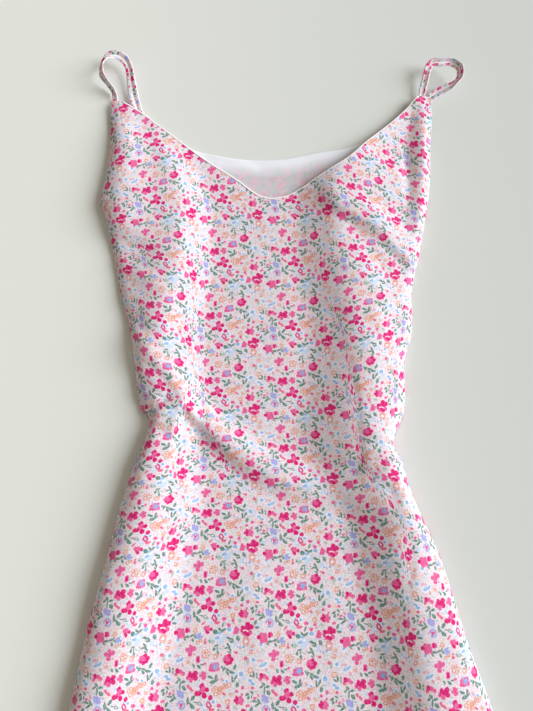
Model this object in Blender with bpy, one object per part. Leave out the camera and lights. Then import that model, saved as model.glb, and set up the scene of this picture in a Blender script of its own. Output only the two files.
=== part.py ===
"""Slip dress laid flat on a surface, with its front panel on its back panel and both strap loops standing.

Metres. X runs across the dress, Y runs towards the straps and Z is up from the surface. The origin lies on
the back panel's underside, a little below the waist.
"""
import math

import bpy
import numpy as np

CLOTH = 0.0012            # wall of both panels
LINING = 0.0010           # lining seen in the neck opening
NECK_LINING = 0.0008      # narrow lining along the front neckline
GAP = 0.0003              # left between pieces that touch
FRONT_FACE = 0.0055       # height of the front's outer face where it lies flat
SEAM = CLOTH + GAP        # height of the front's side edges over the back
ROLL = 0.012              # radius of the rolled side edges

HEM = -0.330              # where the hem's corners lie
HEM_DIP = 0.014           # how far the middle of the hem reaches past its corners
UNDERARM = 0.300          # the side seams end here

CREST_SHARE = 0.3         # rounded share of a fold's slope at its crest, and again at its foot

# Both edges of the front, down the dress: y, left x, right x, left rim height, right rim height
OUTLINE = (
    (0.480, -0.1990, 0.2090, 0.0066, 0.0080),
    (0.455, -0.1985, 0.2105, 0.0056, 0.0066),
    (0.404, -0.1975, 0.2065, SEAM, SEAM),
    (0.362, -0.2005, 0.2035, SEAM, SEAM),
    (0.333, -0.2045, 0.1990, SEAM, SEAM),
    (0.308, -0.1960, 0.1940, SEAM, SEAM),
    (0.262, -0.1835, 0.1832, SEAM, SEAM),
    (0.205, -0.1700, 0.1703, SEAM, SEAM),
    (0.168, -0.1583, 0.1690, SEAM, SEAM),
    (0.128, -0.1512, 0.1575, SEAM, SEAM),
    (0.087, -0.1445, 0.1560, SEAM, SEAM),
    (0.075, -0.1395, 0.1545, SEAM, SEAM),
    (0.063, -0.1292, 0.1500, SEAM, SEAM),
    (0.053, -0.1318, 0.1445, SEAM, SEAM),
    (0.038, -0.1360, 0.1395, SEAM, SEAM),
    (0.018, -0.1440, 0.1490, SEAM, SEAM),
    (0.000, -0.1492, 0.1525, SEAM, SEAM),
    (-0.043, -0.1615, 0.1680, SEAM, SEAM),
    (-0.080, -0.1685, 0.1832, SEAM, SEAM),
    (-0.123, -0.1783, 0.1950, SEAM, SEAM),
    (-0.163, -0.1866, 0.2055, SEAM, SEAM),
    (-0.225, -0.1964, 0.2256, SEAM, SEAM),
    (-0.345, -0.2180, 0.2590, SEAM, SEAM),
)

# The front neckline, across the dress: x, y
NECKLINE = (
    (-0.2000, 0.4720),
    (-0.1900, 0.4700),
    (-0.1618, 0.4545),
    (-0.1375, 0.4356),
    (-0.1140, 0.4170),
    (-0.0767, 0.3873),
    (-0.0377, 0.3600),
    (-0.0055, 0.3366),
    (0.0060, 0.3343),
    (0.0200, 0.3362),
    (0.0440, 0.3482),
    (0.0600, 0.3585),
    (0.0780, 0.3690),
    (0.0960, 0.3800),
    (0.1080, 0.3903),
    (0.1240, 0.4072),
    (0.1380, 0.4200),
    (0.1600, 0.4400),
    (0.1794, 0.4590),
    (0.1950, 0.4760),
    (0.2100, 0.4800),
)

# The back's edges above the underarms, hidden by the front: y, left x, right x
BACK_ARMHOLES = (
    (UNDERARM, -0.1936, 0.1922),
    (0.333, -0.1960, 0.1925),
    (0.380, -0.1880, 0.1940),
    (0.430, -0.1780, 0.1960),
    (0.462, -0.1720, 0.1940),
)

# The back neckline, across the dress: x, y
BACK_NECKLINE = (
    (-0.1720, 0.4620),
    (-0.1600, 0.4620),
    (-0.1520, 0.4400),
    (-0.1250, 0.4190),
    (-0.0928, 0.4045),
    (-0.0600, 0.3958),
    (-0.0350, 0.3917),
    (-0.0100, 0.3902),
    (0.0150, 0.3913),
    (0.0400, 0.3955),
    (0.0687, 0.4015),
    (0.0960, 0.4060),
    (0.1337, 0.4200),
    (0.1650, 0.4350),
    (0.1800, 0.4500),
    (0.1940, 0.4600),
)

# Folds that run down the dress: y, crest x, height, width to the left foot, width to the right foot
LEFT_RIDGE = (
    (0.480, -0.180, 0.003, 0.040, 0.050),
    (0.440, -0.160, 0.003, 0.060, 0.045),
    (0.400, -0.135, 0.007, 0.110, 0.045),
    (0.322, -0.110, 0.013, 0.200, 0.048),
    (0.260, -0.109, 0.014, 0.105, 0.050),
    (0.200, -0.118, 0.015, 0.080, 0.054),
    (0.140, -0.128, 0.016, 0.050, 0.064),
    (0.105, -0.112, 0.014, 0.060, 0.050),
    (0.075, -0.110, 0.013, 0.050, 0.048),
    (0.040, -0.119, 0.015, 0.040, 0.048),
    (0.009, -0.124, 0.017, 0.048, 0.062),
    (-0.042, -0.132, 0.018, 0.055, 0.070),
    (-0.100, -0.145, 0.018, 0.060, 0.070),
    (-0.155, -0.151, 0.018, 0.065, 0.066),
    (-0.208, -0.166, 0.018, 0.060, 0.068),
    (-0.345, -0.186, 0.015, 0.065, 0.075),
)
RIGHT_RIDGE = (
    (0.480, 0.190, 0.004, 0.040, 0.040),
    (0.435, 0.128, 0.007, 0.050, 0.055),
    (0.389, 0.097, 0.012, 0.055, 0.080),
    (0.322, 0.090, 0.014, 0.062, 0.150),
    (0.259, 0.093, 0.016, 0.066, 0.130),
    (0.198, 0.104, 0.018, 0.072, 0.100),
    (0.139, 0.112, 0.019, 0.078, 0.080),
    (0.083, 0.110, 0.020, 0.082, 0.080),
    (0.040, 0.117, 0.021, 0.090, 0.060),
    (0.009, 0.127, 0.021, 0.084, 0.055),
    (-0.042, 0.142, 0.018, 0.066, 0.060),
    (-0.100, 0.150, 0.017, 0.063, 0.075),
    (-0.155, 0.161, 0.017, 0.064, 0.090),
    (-0.208, 0.167, 0.017, 0.067, 0.100),
    (-0.345, 0.200, 0.014, 0.075, 0.100),
)
LEFT_ARMHOLE_RIDGE = (
    (0.480, -0.190, 0.000, 0.020, 0.030),
    (0.455, -0.188, 0.002, 0.020, 0.030),
    (0.404, -0.180, 0.006, 0.025, 0.040),
    (0.333, -0.176, 0.006, 0.030, 0.045),
    (0.290, -0.170, 0.003, 0.025, 0.040),
    (0.260, -0.165, 0.000, 0.025, 0.040),
)
RIGHT_ARMHOLE_RIDGE = (
    (0.480, 0.200, 0.000, 0.016, 0.020),
    (0.450, 0.198, 0.004, 0.018, 0.020),
    (0.360, 0.192, 0.005, 0.020, 0.020),
    (0.300, 0.184, 0.004, 0.022, 0.020),
    (0.250, 0.175, 0.000, 0.022, 0.020),
)
DOWN_FOLDS = (LEFT_RIDGE, RIGHT_RIDGE, LEFT_ARMHOLE_RIDGE, RIGHT_ARMHOLE_RIDGE)

# Folds that run across the dress: x, crest y, height, width to the lower foot, width to the upper foot
WAIST_FOLD = (
    (-0.110, 0.100, 0.000, 0.020, 0.030),
    (-0.088, 0.078, 0.006, 0.020, 0.030),
    (-0.056, 0.048, 0.009, 0.024, 0.034),
    (-0.018, 0.020, 0.008, 0.028, 0.036),
    (0.035, -0.004, 0.006, 0.028, 0.034),
    (0.088, -0.016, 0.004, 0.024, 0.030),
    (0.130, -0.022, 0.000, 0.024, 0.030),
)
BUST_FOLD = (
    (0.060, 0.335, 0.000, 0.022, 0.040),
    (0.085, 0.320, 0.004, 0.022, 0.040),
    (0.128, 0.292, 0.005, 0.026, 0.045),
    (0.165, 0.255, 0.004, 0.024, 0.045),
    (0.190, 0.230, 0.000, 0.022, 0.040),
)
CROSS_FOLDS = (WAIST_FOLD, BUST_FOLD)

# Strap routes from the front peak round the loop to the back: x, y, z, width, roll in degrees
STRAP_THICK = 0.0020
LEFT_STRAP = (
    (-0.1935, 0.4579, 0.0038, 0.006, 0),
    (-0.1940, 0.4693, 0.0040, 0.006, 0),
    (-0.1948, 0.4770, 0.0053, 0.008, 20),
    (-0.1973, 0.4862, 0.0070, 0.010, 60),
    (-0.2026, 0.4935, 0.0090, 0.010, 68),
    (-0.2079, 0.5000, 0.0120, 0.010, 60),
    (-0.2119, 0.5068, 0.0145, 0.010, 45),
    (-0.2119, 0.5160, 0.0160, 0.010, 50),
    (-0.2086, 0.5261, 0.0165, 0.010, 35),
    (-0.2030, 0.5322, 0.0165, 0.011, 5),
    (-0.1942, 0.5334, 0.0160, 0.012, -18),
    (-0.1853, 0.5295, 0.0145, 0.012, -20),
    (-0.1790, 0.5211, 0.0120, 0.011, -16),
    (-0.1763, 0.5107, 0.0100, 0.011, -16),
    (-0.1748, 0.4999, 0.0085, 0.012, -14),
    (-0.1729, 0.4892, 0.0070, 0.013, -10),
    (-0.1707, 0.4785, 0.0052, 0.013, -5),
    (-0.1676, 0.4679, 0.0036, 0.012, 0),
    (-0.1634, 0.4568, 0.0028, 0.010, 0),
    (-0.1576, 0.4410, 0.0026, 0.010, 0),
)
RIGHT_STRAP = (
    (0.1967, 0.4579, 0.0054, 0.006, 0),
    (0.1984, 0.4693, 0.0056, 0.007, 0),
    (0.1992, 0.4785, 0.0060, 0.008, 0),
    (0.2008, 0.4877, 0.0082, 0.009, 5),
    (0.2034, 0.4976, 0.0105, 0.009, 10),
    (0.2057, 0.5070, 0.0130, 0.009, 8),
    (0.2088, 0.5169, 0.0150, 0.009, -10),
    (0.2158, 0.5216, 0.0165, 0.010, -25),
    (0.2239, 0.5212, 0.0170, 0.011, -25),
    (0.2343, 0.5219, 0.0170, 0.010, -35),
    (0.2432, 0.5186, 0.0165, 0.010, -48),
    (0.2485, 0.5115, 0.0155, 0.010, -50),
    (0.2482, 0.5034, 0.0140, 0.010, -45),
    (0.2426, 0.4961, 0.0120, 0.010, -40),
    (0.2338, 0.4904, 0.0095, 0.012, -8),
    (0.2240, 0.4868, 0.0070, 0.012, 3),
    (0.2152, 0.4818, 0.0046, 0.012, 3),
    (0.2065, 0.4749, 0.0030, 0.011, 0),
    (0.1972, 0.4642, 0.0027, 0.010, 0),
    (0.1863, 0.4513, 0.0026, 0.010, 0),
)

# How finely the pieces are divided
ROLL_STEPS = 4            # columns round each rolled side edge
COLUMNS = 27              # columns between the rolled edges
UPPER_ROWS = 9            # rows from the underarms to the neckline
BODY_STEP = 0.021         # row spacing down the body
WAIST_STEP = 0.0095       # row spacing across the waist
WAIST = (-0.050, 0.110)   # the stretch with the close rows
STRAP_STEP = 0.0045
STRAP_SIDES = 8
CURVE_STEP = 0.016        # spacing of points along the back's curved edges
HEM_POINTS = 27           # along the back's hem
ARMHOLE_POINTS = 9        # along each of the back's armholes
MEETING_STEPS = 30        # rounds that bring a column's ends onto the hem and the neckline
SHARP_ANGLE = 40          # degrees from which an edge is drawn sharp

# The linings
NECK_STAND_OUT = 0.0010   # how far the neckline's lining shows past the printed cloth
NECK_HIDDEN = 0.0075      # its width under the printed cloth
NECK_CLEAR = 0.014        # it ends this far from the strap points
LINING_LEFT, LINING_RIGHT = -0.128, 0.150
LINING_MARGIN = 0.018     # how far the back lining runs on under the front

# Colours that tell the pieces apart in the plain model
FRONT_COLOUR = (0.86, 0.62, 0.68)
BACK_COLOUR = (0.84, 0.60, 0.66)
STRAP_COLOUR = (0.85, 0.58, 0.66)
LINING_COLOUR = (0.93, 0.91, 0.92)


def curve(table, column, at):
    """A column of a table read anywhere along its first column: a smooth curve that never overshoots."""
    rows = np.array(sorted(table), dtype=float)
    knots, values = rows[:, 0], rows[:, column]
    step = np.diff(knots)
    slope = np.diff(values) / step
    tangent = np.zeros_like(values)
    before, after = slope[:-1], slope[1:]
    monotone = before * after > 0
    tangent[1:-1][monotone] = 2 * before[monotone] * after[monotone] / (before + after)[monotone]
    tangent[0], tangent[-1] = slope[0], slope[-1]
    at = np.clip(at, knots[0], knots[-1])
    i = np.clip(np.searchsorted(knots, at, side="right") - 1, 0, len(knots) - 2)
    s = (at - knots[i]) / step[i]
    ends = values[i] * (1 + 2 * s) * (1 - s) ** 2 + values[i + 1] * s * s * (3 - 2 * s)
    return ends + step[i] * s * (1 - s) * (tangent[i] * (1 - s) - tangent[i + 1] * s)


def swell(t):
    """1 at a fold's crest and 0 at its foot: an even slope between a round crest and a round foot."""
    t = np.clip(np.abs(t), 0, 1)
    soft = 2 * CREST_SHARE * (1 - CREST_SHARE)
    even = (t - CREST_SHARE / 2) / (1 - CREST_SHARE)
    fallen = np.where(t < CREST_SHARE, t * t / soft, np.where(t > 1 - CREST_SHARE, 1 - (1 - t) ** 2 / soft, even))
    return 1 - fallen


def fold(table, along, across):
    """Height that one fold adds."""
    crest, high, low_width, high_width = (curve(table, column, along) for column in (1, 2, 3, 4))
    return high * swell((across - crest) / np.where(across < crest, low_width, high_width))


def front_height(x, y):
    """Height of the front's outer face above the surface."""
    z = np.full(np.shape(x), FRONT_FACE)
    for table in DOWN_FOLDS:
        z = z + fold(table, y, x)
    for table in CROSS_FOLDS:
        z = z + fold(table, x, y)
    for inward, rim in ((x - curve(OUTLINE, 1, y), 3), (curve(OUTLINE, 2, y) - x, 4)):
        low = curve(OUTLINE, rim, y)
        z = low + (z - low) * np.sqrt(1 - (1 - np.clip(inward / ROLL, 0, 1)) ** 2)
    return z


def hem_line(x):
    """The hem's y: its middle reaches a little further down than its corners."""
    left, right = curve(OUTLINE, 1, HEM), curve(OUTLINE, 2, HEM)
    t = np.clip((x - left) / (right - left), 0, 1)
    return HEM - HEM_DIP * np.sin(math.pi * t)


def column_x(column, y):
    """The x of a column: (from the left edge, share of the middle, from the right edge) at a height y."""
    from_left, share, from_right = column
    left, right = curve(OUTLINE, 1, y), curve(OUTLINE, 2, y)
    if share is not None:
        return left + ROLL + share * (right - left - 2 * ROLL)
    return left + from_left if from_left is not None else right - from_right


def columns():
    """Columns across the front: close together round the rolled edges, even in between."""
    rolled = [ROLL * (1 - math.cos(0.5 * math.pi * k / ROLL_STEPS)) for k in range(ROLL_STEPS)]
    middle = [(None, k / COLUMNS, None) for k in range(COLUMNS + 1)]
    return [(e, None, None) for e in rolled] + middle + [(None, None, e) for e in reversed(rolled)]


def body_rows():
    """Row heights from the hem to the underarms, closer together across the waist."""
    def stretch(low, high, step):
        count = max(1, round((high - low) / step))
        return list(np.linspace(low, high, count + 1)[:-1])
    return (stretch(HEM, WAIST[0], BODY_STEP) + stretch(*WAIST, WAIST_STEP)
            + stretch(WAIST[1], UNDERARM, BODY_STEP) + [UNDERARM])


def front_grid():
    """Outer face of the front: rows from the hem to the neckline, columns from left to right."""
    shares = (np.array(body_rows()) - HEM) / (UNDERARM - HEM)
    lines = []
    for column in columns():
        bottom = HEM
        top = UNDERARM
        for _ in range(MEETING_STEPS):
            bottom = float(hem_line(column_x(column, bottom)))
            top = 0.5 * (top + float(curve(NECKLINE, 1, column_x(column, top))))
        lower = bottom + (UNDERARM - bottom) * shares
        upper = UNDERARM + (top - UNDERARM) * np.linspace(0, 1, UPPER_ROWS + 1)[1:]
        y = np.concatenate([lower, upper])
        x = column_x(column, y)
        lines.append(np.stack([x, y, front_height(x, y)], axis=-1))
    return np.stack(lines, axis=1)


def normals(grid):
    """Upward unit normals of a grid of points."""
    down, across = np.gradient(grid, axis=0), np.gradient(grid, axis=1)
    n = np.cross(across, down)
    return n / np.linalg.norm(n, axis=-1, keepdims=True)


def material(name, colour, roughness=0.85):
    surface = bpy.data.materials.new(name)
    surface.use_nodes = True
    shader = surface.node_tree.nodes["Principled BSDF"]
    shader.inputs["Base Color"].default_value = (*colour, 1.0)
    shader.inputs["Roughness"].default_value = roughness
    shader.inputs["Metallic"].default_value = 0.0
    return surface


def add_piece(name, points, faces, colour):
    mesh = bpy.data.meshes.new(name)
    mesh.from_pydata([tuple(map(float, p)) for p in points], [], faces)
    mesh.validate()
    piece = bpy.data.objects.new(name, mesh)
    bpy.context.scene.collection.objects.link(piece)
    mesh.materials.append(material(name, colour))
    mesh.shade_smooth()
    mesh.set_sharp_from_angle(angle=math.radians(SHARP_ANGLE))
    return piece


def wall(name, outer, inner, colour):
    """A closed wall between an outer grid and an inner grid of the same shape."""
    rows, cols = outer.shape[:2]
    points = np.concatenate([outer.reshape(-1, 3), inner.reshape(-1, 3)])
    under = rows * cols
    faces = []
    for i in range(rows - 1):
        for j in range(cols - 1):
            a, b, c, d = i * cols + j, i * cols + j + 1, (i + 1) * cols + j + 1, (i + 1) * cols + j
            faces.append((a, b, c, d))
            faces.append((under + d, under + c, under + b, under + a))
    rim = (list(range(cols)) + [i * cols + cols - 1 for i in range(1, rows)]
           + [(rows - 1) * cols + j for j in range(cols - 2, -1, -1)] + [i * cols for i in range(rows - 2, 0, -1)])
    for k, a in enumerate(rim):
        b = rim[(k + 1) % len(rim)]
        faces.append((b, a, under + a, under + b))
    return add_piece(name, points, faces, colour)


def slab(name, outline, bottom, thick, colour):
    """A flat closed piece of cloth inside an outline given anticlockwise."""
    count = len(outline)
    points = [(x, y, bottom) for x, y in outline] + [(x, y, bottom + thick) for x, y in outline]
    faces = [tuple(range(count - 1, -1, -1)), tuple(range(count, 2 * count))]
    faces += [(k, (k + 1) % count, count + (k + 1) % count, count + k) for k in range(count)]
    return add_piece(name, points, faces, colour)


def build_front(outer):
    inner = outer - CLOTH * normals(outer)
    inner[..., 2] = np.maximum(inner[..., 2], SEAM)
    return wall("front_panel", outer, inner, FRONT_COLOUR)


def build_neck_lining(outer):
    """A strip under the front's neckline, standing out past it by a hair."""
    edge, before = outer[-1], outer[-2]
    keep = (edge[:, 0] > edge[0, 0] + NECK_CLEAR) & (edge[:, 0] < edge[-1, 0] - NECK_CLEAR)
    along = (edge - before) / np.linalg.norm(edge - before, axis=1, keepdims=True)
    normal = normals(outer)[-1]
    reaches = (-NECK_HIDDEN, -NECK_HIDDEN / 2, NECK_STAND_OUT)
    top = np.stack([edge + d * along - (CLOTH + GAP) * normal for d in reaches])[:, keep]
    drop = NECK_LINING * normal[keep]
    return wall("front_neck_lining", top, top - drop, LINING_COLOUR)


def back_outline():
    heights = [float(y) for y in body_rows()]
    arm = list(np.linspace(UNDERARM, BACK_ARMHOLES[-1][0], ARMHOLE_POINTS)[1:])
    right = [(float(curve(OUTLINE, 2, y)), y) for y in heights]
    right += [(float(curve(BACK_ARMHOLES, 2, y)), float(y)) for y in arm]
    left = [(float(curve(OUTLINE, 1, y)), y) for y in heights]
    left += [(float(curve(BACK_ARMHOLES, 1, y)), float(y)) for y in arm]
    return right, left


def neck_points(low, high):
    count = round((high - low) / CURVE_STEP)
    return [(float(x), float(curve(BACK_NECKLINE, 1, x))) for x in np.linspace(high, low, count + 1)]


def build_back():
    right, left = back_outline()
    hem_x = np.linspace(left[0][0], right[0][0], HEM_POINTS)[1:-1]
    hem = [(float(x), float(hem_line(x))) for x in hem_x]
    neck = neck_points(BACK_NECKLINE[0][0], BACK_NECKLINE[-1][0])[1:-1]
    return slab("back_panel", hem + right + neck + left[::-1], 0.0, CLOTH, BACK_COLOUR)


def build_back_lining():
    """Lining over the back where the neck opening shows it, with a hidden margin under the front."""
    neck = neck_points(LINING_LEFT, LINING_RIGHT)
    under_x = np.linspace(LINING_LEFT, LINING_RIGHT, len(neck))
    under = [(float(x), float(curve(NECKLINE, 1, x)) - LINING_MARGIN) for x in under_x]
    return slab("back_lining", under + neck, CLOTH + GAP, LINING, LINING_COLOUR)


def strap_sections(route):
    """Rings of points along a strap: a flat rounded section that turns as the strap twists."""
    rows = np.array(route, dtype=float)
    reach = np.concatenate([[0], np.cumsum(np.linalg.norm(np.diff(rows[:, :3], axis=0), axis=1))])
    table = [(s, *row) for s, row in zip(reach, rows)]
    at = np.linspace(0, reach[-1], round(reach[-1] / STRAP_STEP) + 1)
    centre = np.stack([curve(table, k, at) for k in (1, 2, 3)], axis=-1)
    width, roll = curve(table, 4, at), np.radians(curve(table, 5, at))
    ahead = np.gradient(centre, axis=0)
    ahead /= np.linalg.norm(ahead, axis=1, keepdims=True)
    level = np.cross(ahead, (0, 0, 1))
    level /= np.linalg.norm(level, axis=1, keepdims=True)
    upward = np.cross(level, ahead)
    side = np.cos(roll)[:, None] * level + np.sin(roll)[:, None] * upward
    face = np.cos(roll)[:, None] * upward - np.sin(roll)[:, None] * level
    rings = []
    for k in range(STRAP_SIDES):
        turn = 2 * math.pi * (k + 0.5) / STRAP_SIDES
        out, lift = math.cos(turn) / math.cos(math.pi / STRAP_SIDES), math.sin(turn)
        rings.append(centre + 0.5 * width[:, None] * out * side + 0.5 * STRAP_THICK * lift * face)
    return np.stack(rings, axis=1)


def build_strap(name, route):
    rings = strap_sections(route)
    count, sides = rings.shape[:2]
    faces = []
    for i in range(count - 1):
        for k in range(sides):
            a, b = i * sides + k, i * sides + (k + 1) % sides
            faces.append((a, a + sides, b + sides, b))
    faces.append(tuple(range(sides)))
    faces.append(tuple((count - 1) * sides + k for k in range(sides - 1, -1, -1)))
    return add_piece(name, rings.reshape(-1, 3), faces, STRAP_COLOUR)


def build():
    for old in list(bpy.data.objects):
        bpy.data.objects.remove(old, do_unlink=True)
    outer = front_grid()
    build_front(outer)
    build_neck_lining(outer)
    build_back()
    build_back_lining()
    build_strap("strap_left", LEFT_STRAP)
    build_strap("strap_right", RIGHT_STRAP)


build()
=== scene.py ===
"""The finish of a slip dress laid flat: printed cloth, white lining, strap loops, floor, light and camera.

Metres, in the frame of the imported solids: X across the dress, Y towards the straps, Z up from the floor.
"""
import math

import bpy
import numpy as np
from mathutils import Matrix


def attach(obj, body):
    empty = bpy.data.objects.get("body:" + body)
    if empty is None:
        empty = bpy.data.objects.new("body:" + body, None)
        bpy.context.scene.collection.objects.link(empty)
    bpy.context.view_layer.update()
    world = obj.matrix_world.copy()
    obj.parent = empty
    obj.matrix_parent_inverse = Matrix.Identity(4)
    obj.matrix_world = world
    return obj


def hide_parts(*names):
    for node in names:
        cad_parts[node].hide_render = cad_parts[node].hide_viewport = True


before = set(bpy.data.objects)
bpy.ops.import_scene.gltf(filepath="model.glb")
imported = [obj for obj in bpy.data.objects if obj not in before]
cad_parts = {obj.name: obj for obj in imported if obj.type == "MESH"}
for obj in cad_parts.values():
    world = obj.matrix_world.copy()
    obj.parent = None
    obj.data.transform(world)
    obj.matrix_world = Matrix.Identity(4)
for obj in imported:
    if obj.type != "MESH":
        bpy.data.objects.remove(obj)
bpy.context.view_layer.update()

MM = 0.001
SHEET = 0.0004            # real cloth, outside to inside
LINING_SHEET = 0.0003
FRONT_FACE = 0.0055       # height of the front's outer face where it lies flat
SEAM = 0.0015             # height of the front's side edges
ROLL = 0.012              # radius of the rolled side edges
HEM = -0.330              # where the hem's corners lie
HEM_DIP = 0.014           # how far the middle of the hem reaches past its corners
HEM_TURN = 0.012          # the hem is turned up this far and stitched
HEM_THICK = 0.0003        # how much the turned hem adds to the height
HEM_STEP = 0.002          # over this width
HEM_STITCH = 0.0004       # depth of the dent along its stitching
HEM_STITCH_WIDTH = 0.0014
HEM_STITCH_IN = 0.001     # the stitching lies this far inside the turned edge
UNDERARM = 0.300          # the side seams end here
CREST_SHARE = 0.3         # rounded share of a fold's slope at its crest, and again at its foot
CREASE_FADE = 0.7         # below 1, a crease keeps more of its height near its ends

# Both edges of the front, down the dress: y, left x, right x, left rim height, right rim height
OUTLINE = (
    (0.480, -0.1990, 0.2090, 0.0066, 0.0080),
    (0.455, -0.1985, 0.2105, 0.0056, 0.0066),
    (0.404, -0.1975, 0.2065, SEAM, SEAM),
    (0.362, -0.2005, 0.2035, SEAM, SEAM),
    (0.333, -0.2045, 0.1990, SEAM, SEAM),
    (0.308, -0.1960, 0.1940, SEAM, SEAM),
    (0.262, -0.1835, 0.1832, SEAM, SEAM),
    (0.205, -0.1700, 0.1703, SEAM, SEAM),
    (0.168, -0.1583, 0.1690, SEAM, SEAM),
    (0.128, -0.1512, 0.1575, SEAM, SEAM),
    (0.087, -0.1445, 0.1560, SEAM, SEAM),
    (0.075, -0.1395, 0.1545, SEAM, SEAM),
    (0.063, -0.1292, 0.1500, SEAM, SEAM),
    (0.053, -0.1318, 0.1445, SEAM, SEAM),
    (0.038, -0.1360, 0.1395, SEAM, SEAM),
    (0.018, -0.1440, 0.1490, SEAM, SEAM),
    (0.000, -0.1492, 0.1525, SEAM, SEAM),
    (-0.043, -0.1615, 0.1680, SEAM, SEAM),
    (-0.080, -0.1685, 0.1832, SEAM, SEAM),
    (-0.123, -0.1783, 0.1950, SEAM, SEAM),
    (-0.163, -0.1866, 0.2055, SEAM, SEAM),
    (-0.225, -0.1964, 0.2256, SEAM, SEAM),
    (-0.345, -0.2180, 0.2590, SEAM, SEAM),
)

# The front neckline, across the dress: x, y
NECKLINE = (
    (-0.2000, 0.4720),
    (-0.1900, 0.4700),
    (-0.1618, 0.4545),
    (-0.1375, 0.4356),
    (-0.1140, 0.4170),
    (-0.0767, 0.3873),
    (-0.0377, 0.3600),
    (-0.0055, 0.3366),
    (0.0060, 0.3343),
    (0.0200, 0.3362),
    (0.0440, 0.3482),
    (0.0600, 0.3585),
    (0.0780, 0.3690),
    (0.0960, 0.3800),
    (0.1080, 0.3903),
    (0.1240, 0.4072),
    (0.1380, 0.4200),
    (0.1600, 0.4400),
    (0.1794, 0.4590),
    (0.1950, 0.4760),
    (0.2100, 0.4800),
)

# The back's edges above the underarms, hidden by the front: y, left x, right x
BACK_ARMHOLES = (
    (UNDERARM, -0.1936, 0.1922),
    (0.333, -0.1960, 0.1925),
    (0.380, -0.1880, 0.1940),
    (0.430, -0.1780, 0.1960),
    (0.462, -0.1720, 0.1940),
)

# The back neckline, across the dress: x, y
BACK_NECKLINE = (
    (-0.1720, 0.4620),
    (-0.1600, 0.4620),
    (-0.1520, 0.4400),
    (-0.1250, 0.4190),
    (-0.0928, 0.4045),
    (-0.0600, 0.3958),
    (-0.0350, 0.3917),
    (-0.0100, 0.3902),
    (0.0150, 0.3913),
    (0.0400, 0.3955),
    (0.0687, 0.4015),
    (0.0960, 0.4060),
    (0.1337, 0.4200),
    (0.1650, 0.4350),
    (0.1800, 0.4500),
    (0.1940, 0.4600),
)

# Folds that run down the dress: y, crest x, height, width to the left foot, width to the right foot
LEFT_RIDGE = (
    (0.480, -0.180, 0.003, 0.040, 0.050),
    (0.440, -0.160, 0.003, 0.060, 0.045),
    (0.400, -0.135, 0.007, 0.110, 0.045),
    (0.322, -0.110, 0.013, 0.200, 0.048),
    (0.260, -0.109, 0.014, 0.105, 0.050),
    (0.200, -0.118, 0.015, 0.080, 0.054),
    (0.140, -0.128, 0.016, 0.050, 0.064),
    (0.105, -0.112, 0.014, 0.060, 0.050),
    (0.075, -0.110, 0.013, 0.050, 0.048),
    (0.040, -0.119, 0.015, 0.040, 0.048),
    (0.009, -0.124, 0.017, 0.048, 0.062),
    (-0.042, -0.132, 0.018, 0.055, 0.070),
    (-0.100, -0.145, 0.018, 0.060, 0.070),
    (-0.155, -0.151, 0.018, 0.065, 0.066),
    (-0.208, -0.166, 0.018, 0.060, 0.068),
    (-0.345, -0.186, 0.015, 0.065, 0.075),
)
RIGHT_RIDGE = (
    (0.480, 0.190, 0.004, 0.040, 0.040),
    (0.435, 0.128, 0.007, 0.050, 0.055),
    (0.389, 0.097, 0.012, 0.055, 0.080),
    (0.322, 0.090, 0.014, 0.062, 0.150),
    (0.259, 0.093, 0.016, 0.066, 0.130),
    (0.198, 0.104, 0.018, 0.072, 0.100),
    (0.139, 0.112, 0.019, 0.078, 0.080),
    (0.083, 0.110, 0.020, 0.082, 0.080),
    (0.040, 0.117, 0.021, 0.090, 0.060),
    (0.009, 0.127, 0.021, 0.084, 0.055),
    (-0.042, 0.142, 0.018, 0.066, 0.060),
    (-0.100, 0.150, 0.017, 0.063, 0.075),
    (-0.155, 0.161, 0.017, 0.064, 0.090),
    (-0.208, 0.167, 0.017, 0.067, 0.100),
    (-0.345, 0.200, 0.014, 0.075, 0.100),
)
LEFT_ARMHOLE_RIDGE = (
    (0.480, -0.190, 0.000, 0.020, 0.030),
    (0.455, -0.188, 0.002, 0.020, 0.030),
    (0.404, -0.180, 0.006, 0.025, 0.040),
    (0.333, -0.176, 0.006, 0.030, 0.045),
    (0.290, -0.170, 0.003, 0.025, 0.040),
    (0.260, -0.165, 0.000, 0.025, 0.040),
)
RIGHT_ARMHOLE_RIDGE = (
    (0.480, 0.200, 0.000, 0.016, 0.020),
    (0.450, 0.198, 0.004, 0.018, 0.020),
    (0.360, 0.192, 0.005, 0.020, 0.020),
    (0.300, 0.184, 0.004, 0.022, 0.020),
    (0.250, 0.175, 0.000, 0.022, 0.020),
)
DOWN_FOLDS = (LEFT_RIDGE, RIGHT_RIDGE, LEFT_ARMHOLE_RIDGE, RIGHT_ARMHOLE_RIDGE)

# Folds that run across the dress: x, crest y, height, width to the lower foot, width to the upper foot
WAIST_FOLD = (
    (-0.110, 0.100, 0.000, 0.020, 0.030),
    (-0.088, 0.078, 0.006, 0.020, 0.030),
    (-0.056, 0.048, 0.009, 0.024, 0.034),
    (-0.018, 0.020, 0.008, 0.028, 0.036),
    (0.035, -0.004, 0.006, 0.028, 0.034),
    (0.088, -0.016, 0.004, 0.024, 0.030),
    (0.130, -0.022, 0.000, 0.024, 0.030),
)
BUST_FOLD = (
    (0.060, 0.335, 0.000, 0.020, 0.040),
    (0.085, 0.320, 0.0050, 0.019, 0.040),
    (0.128, 0.292, 0.0062, 0.021, 0.045),
    (0.165, 0.255, 0.0048, 0.020, 0.045),
    (0.190, 0.230, 0.000, 0.022, 0.040),
)
CROSS_FOLDS = (WAIST_FOLD, BUST_FOLD)

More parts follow.
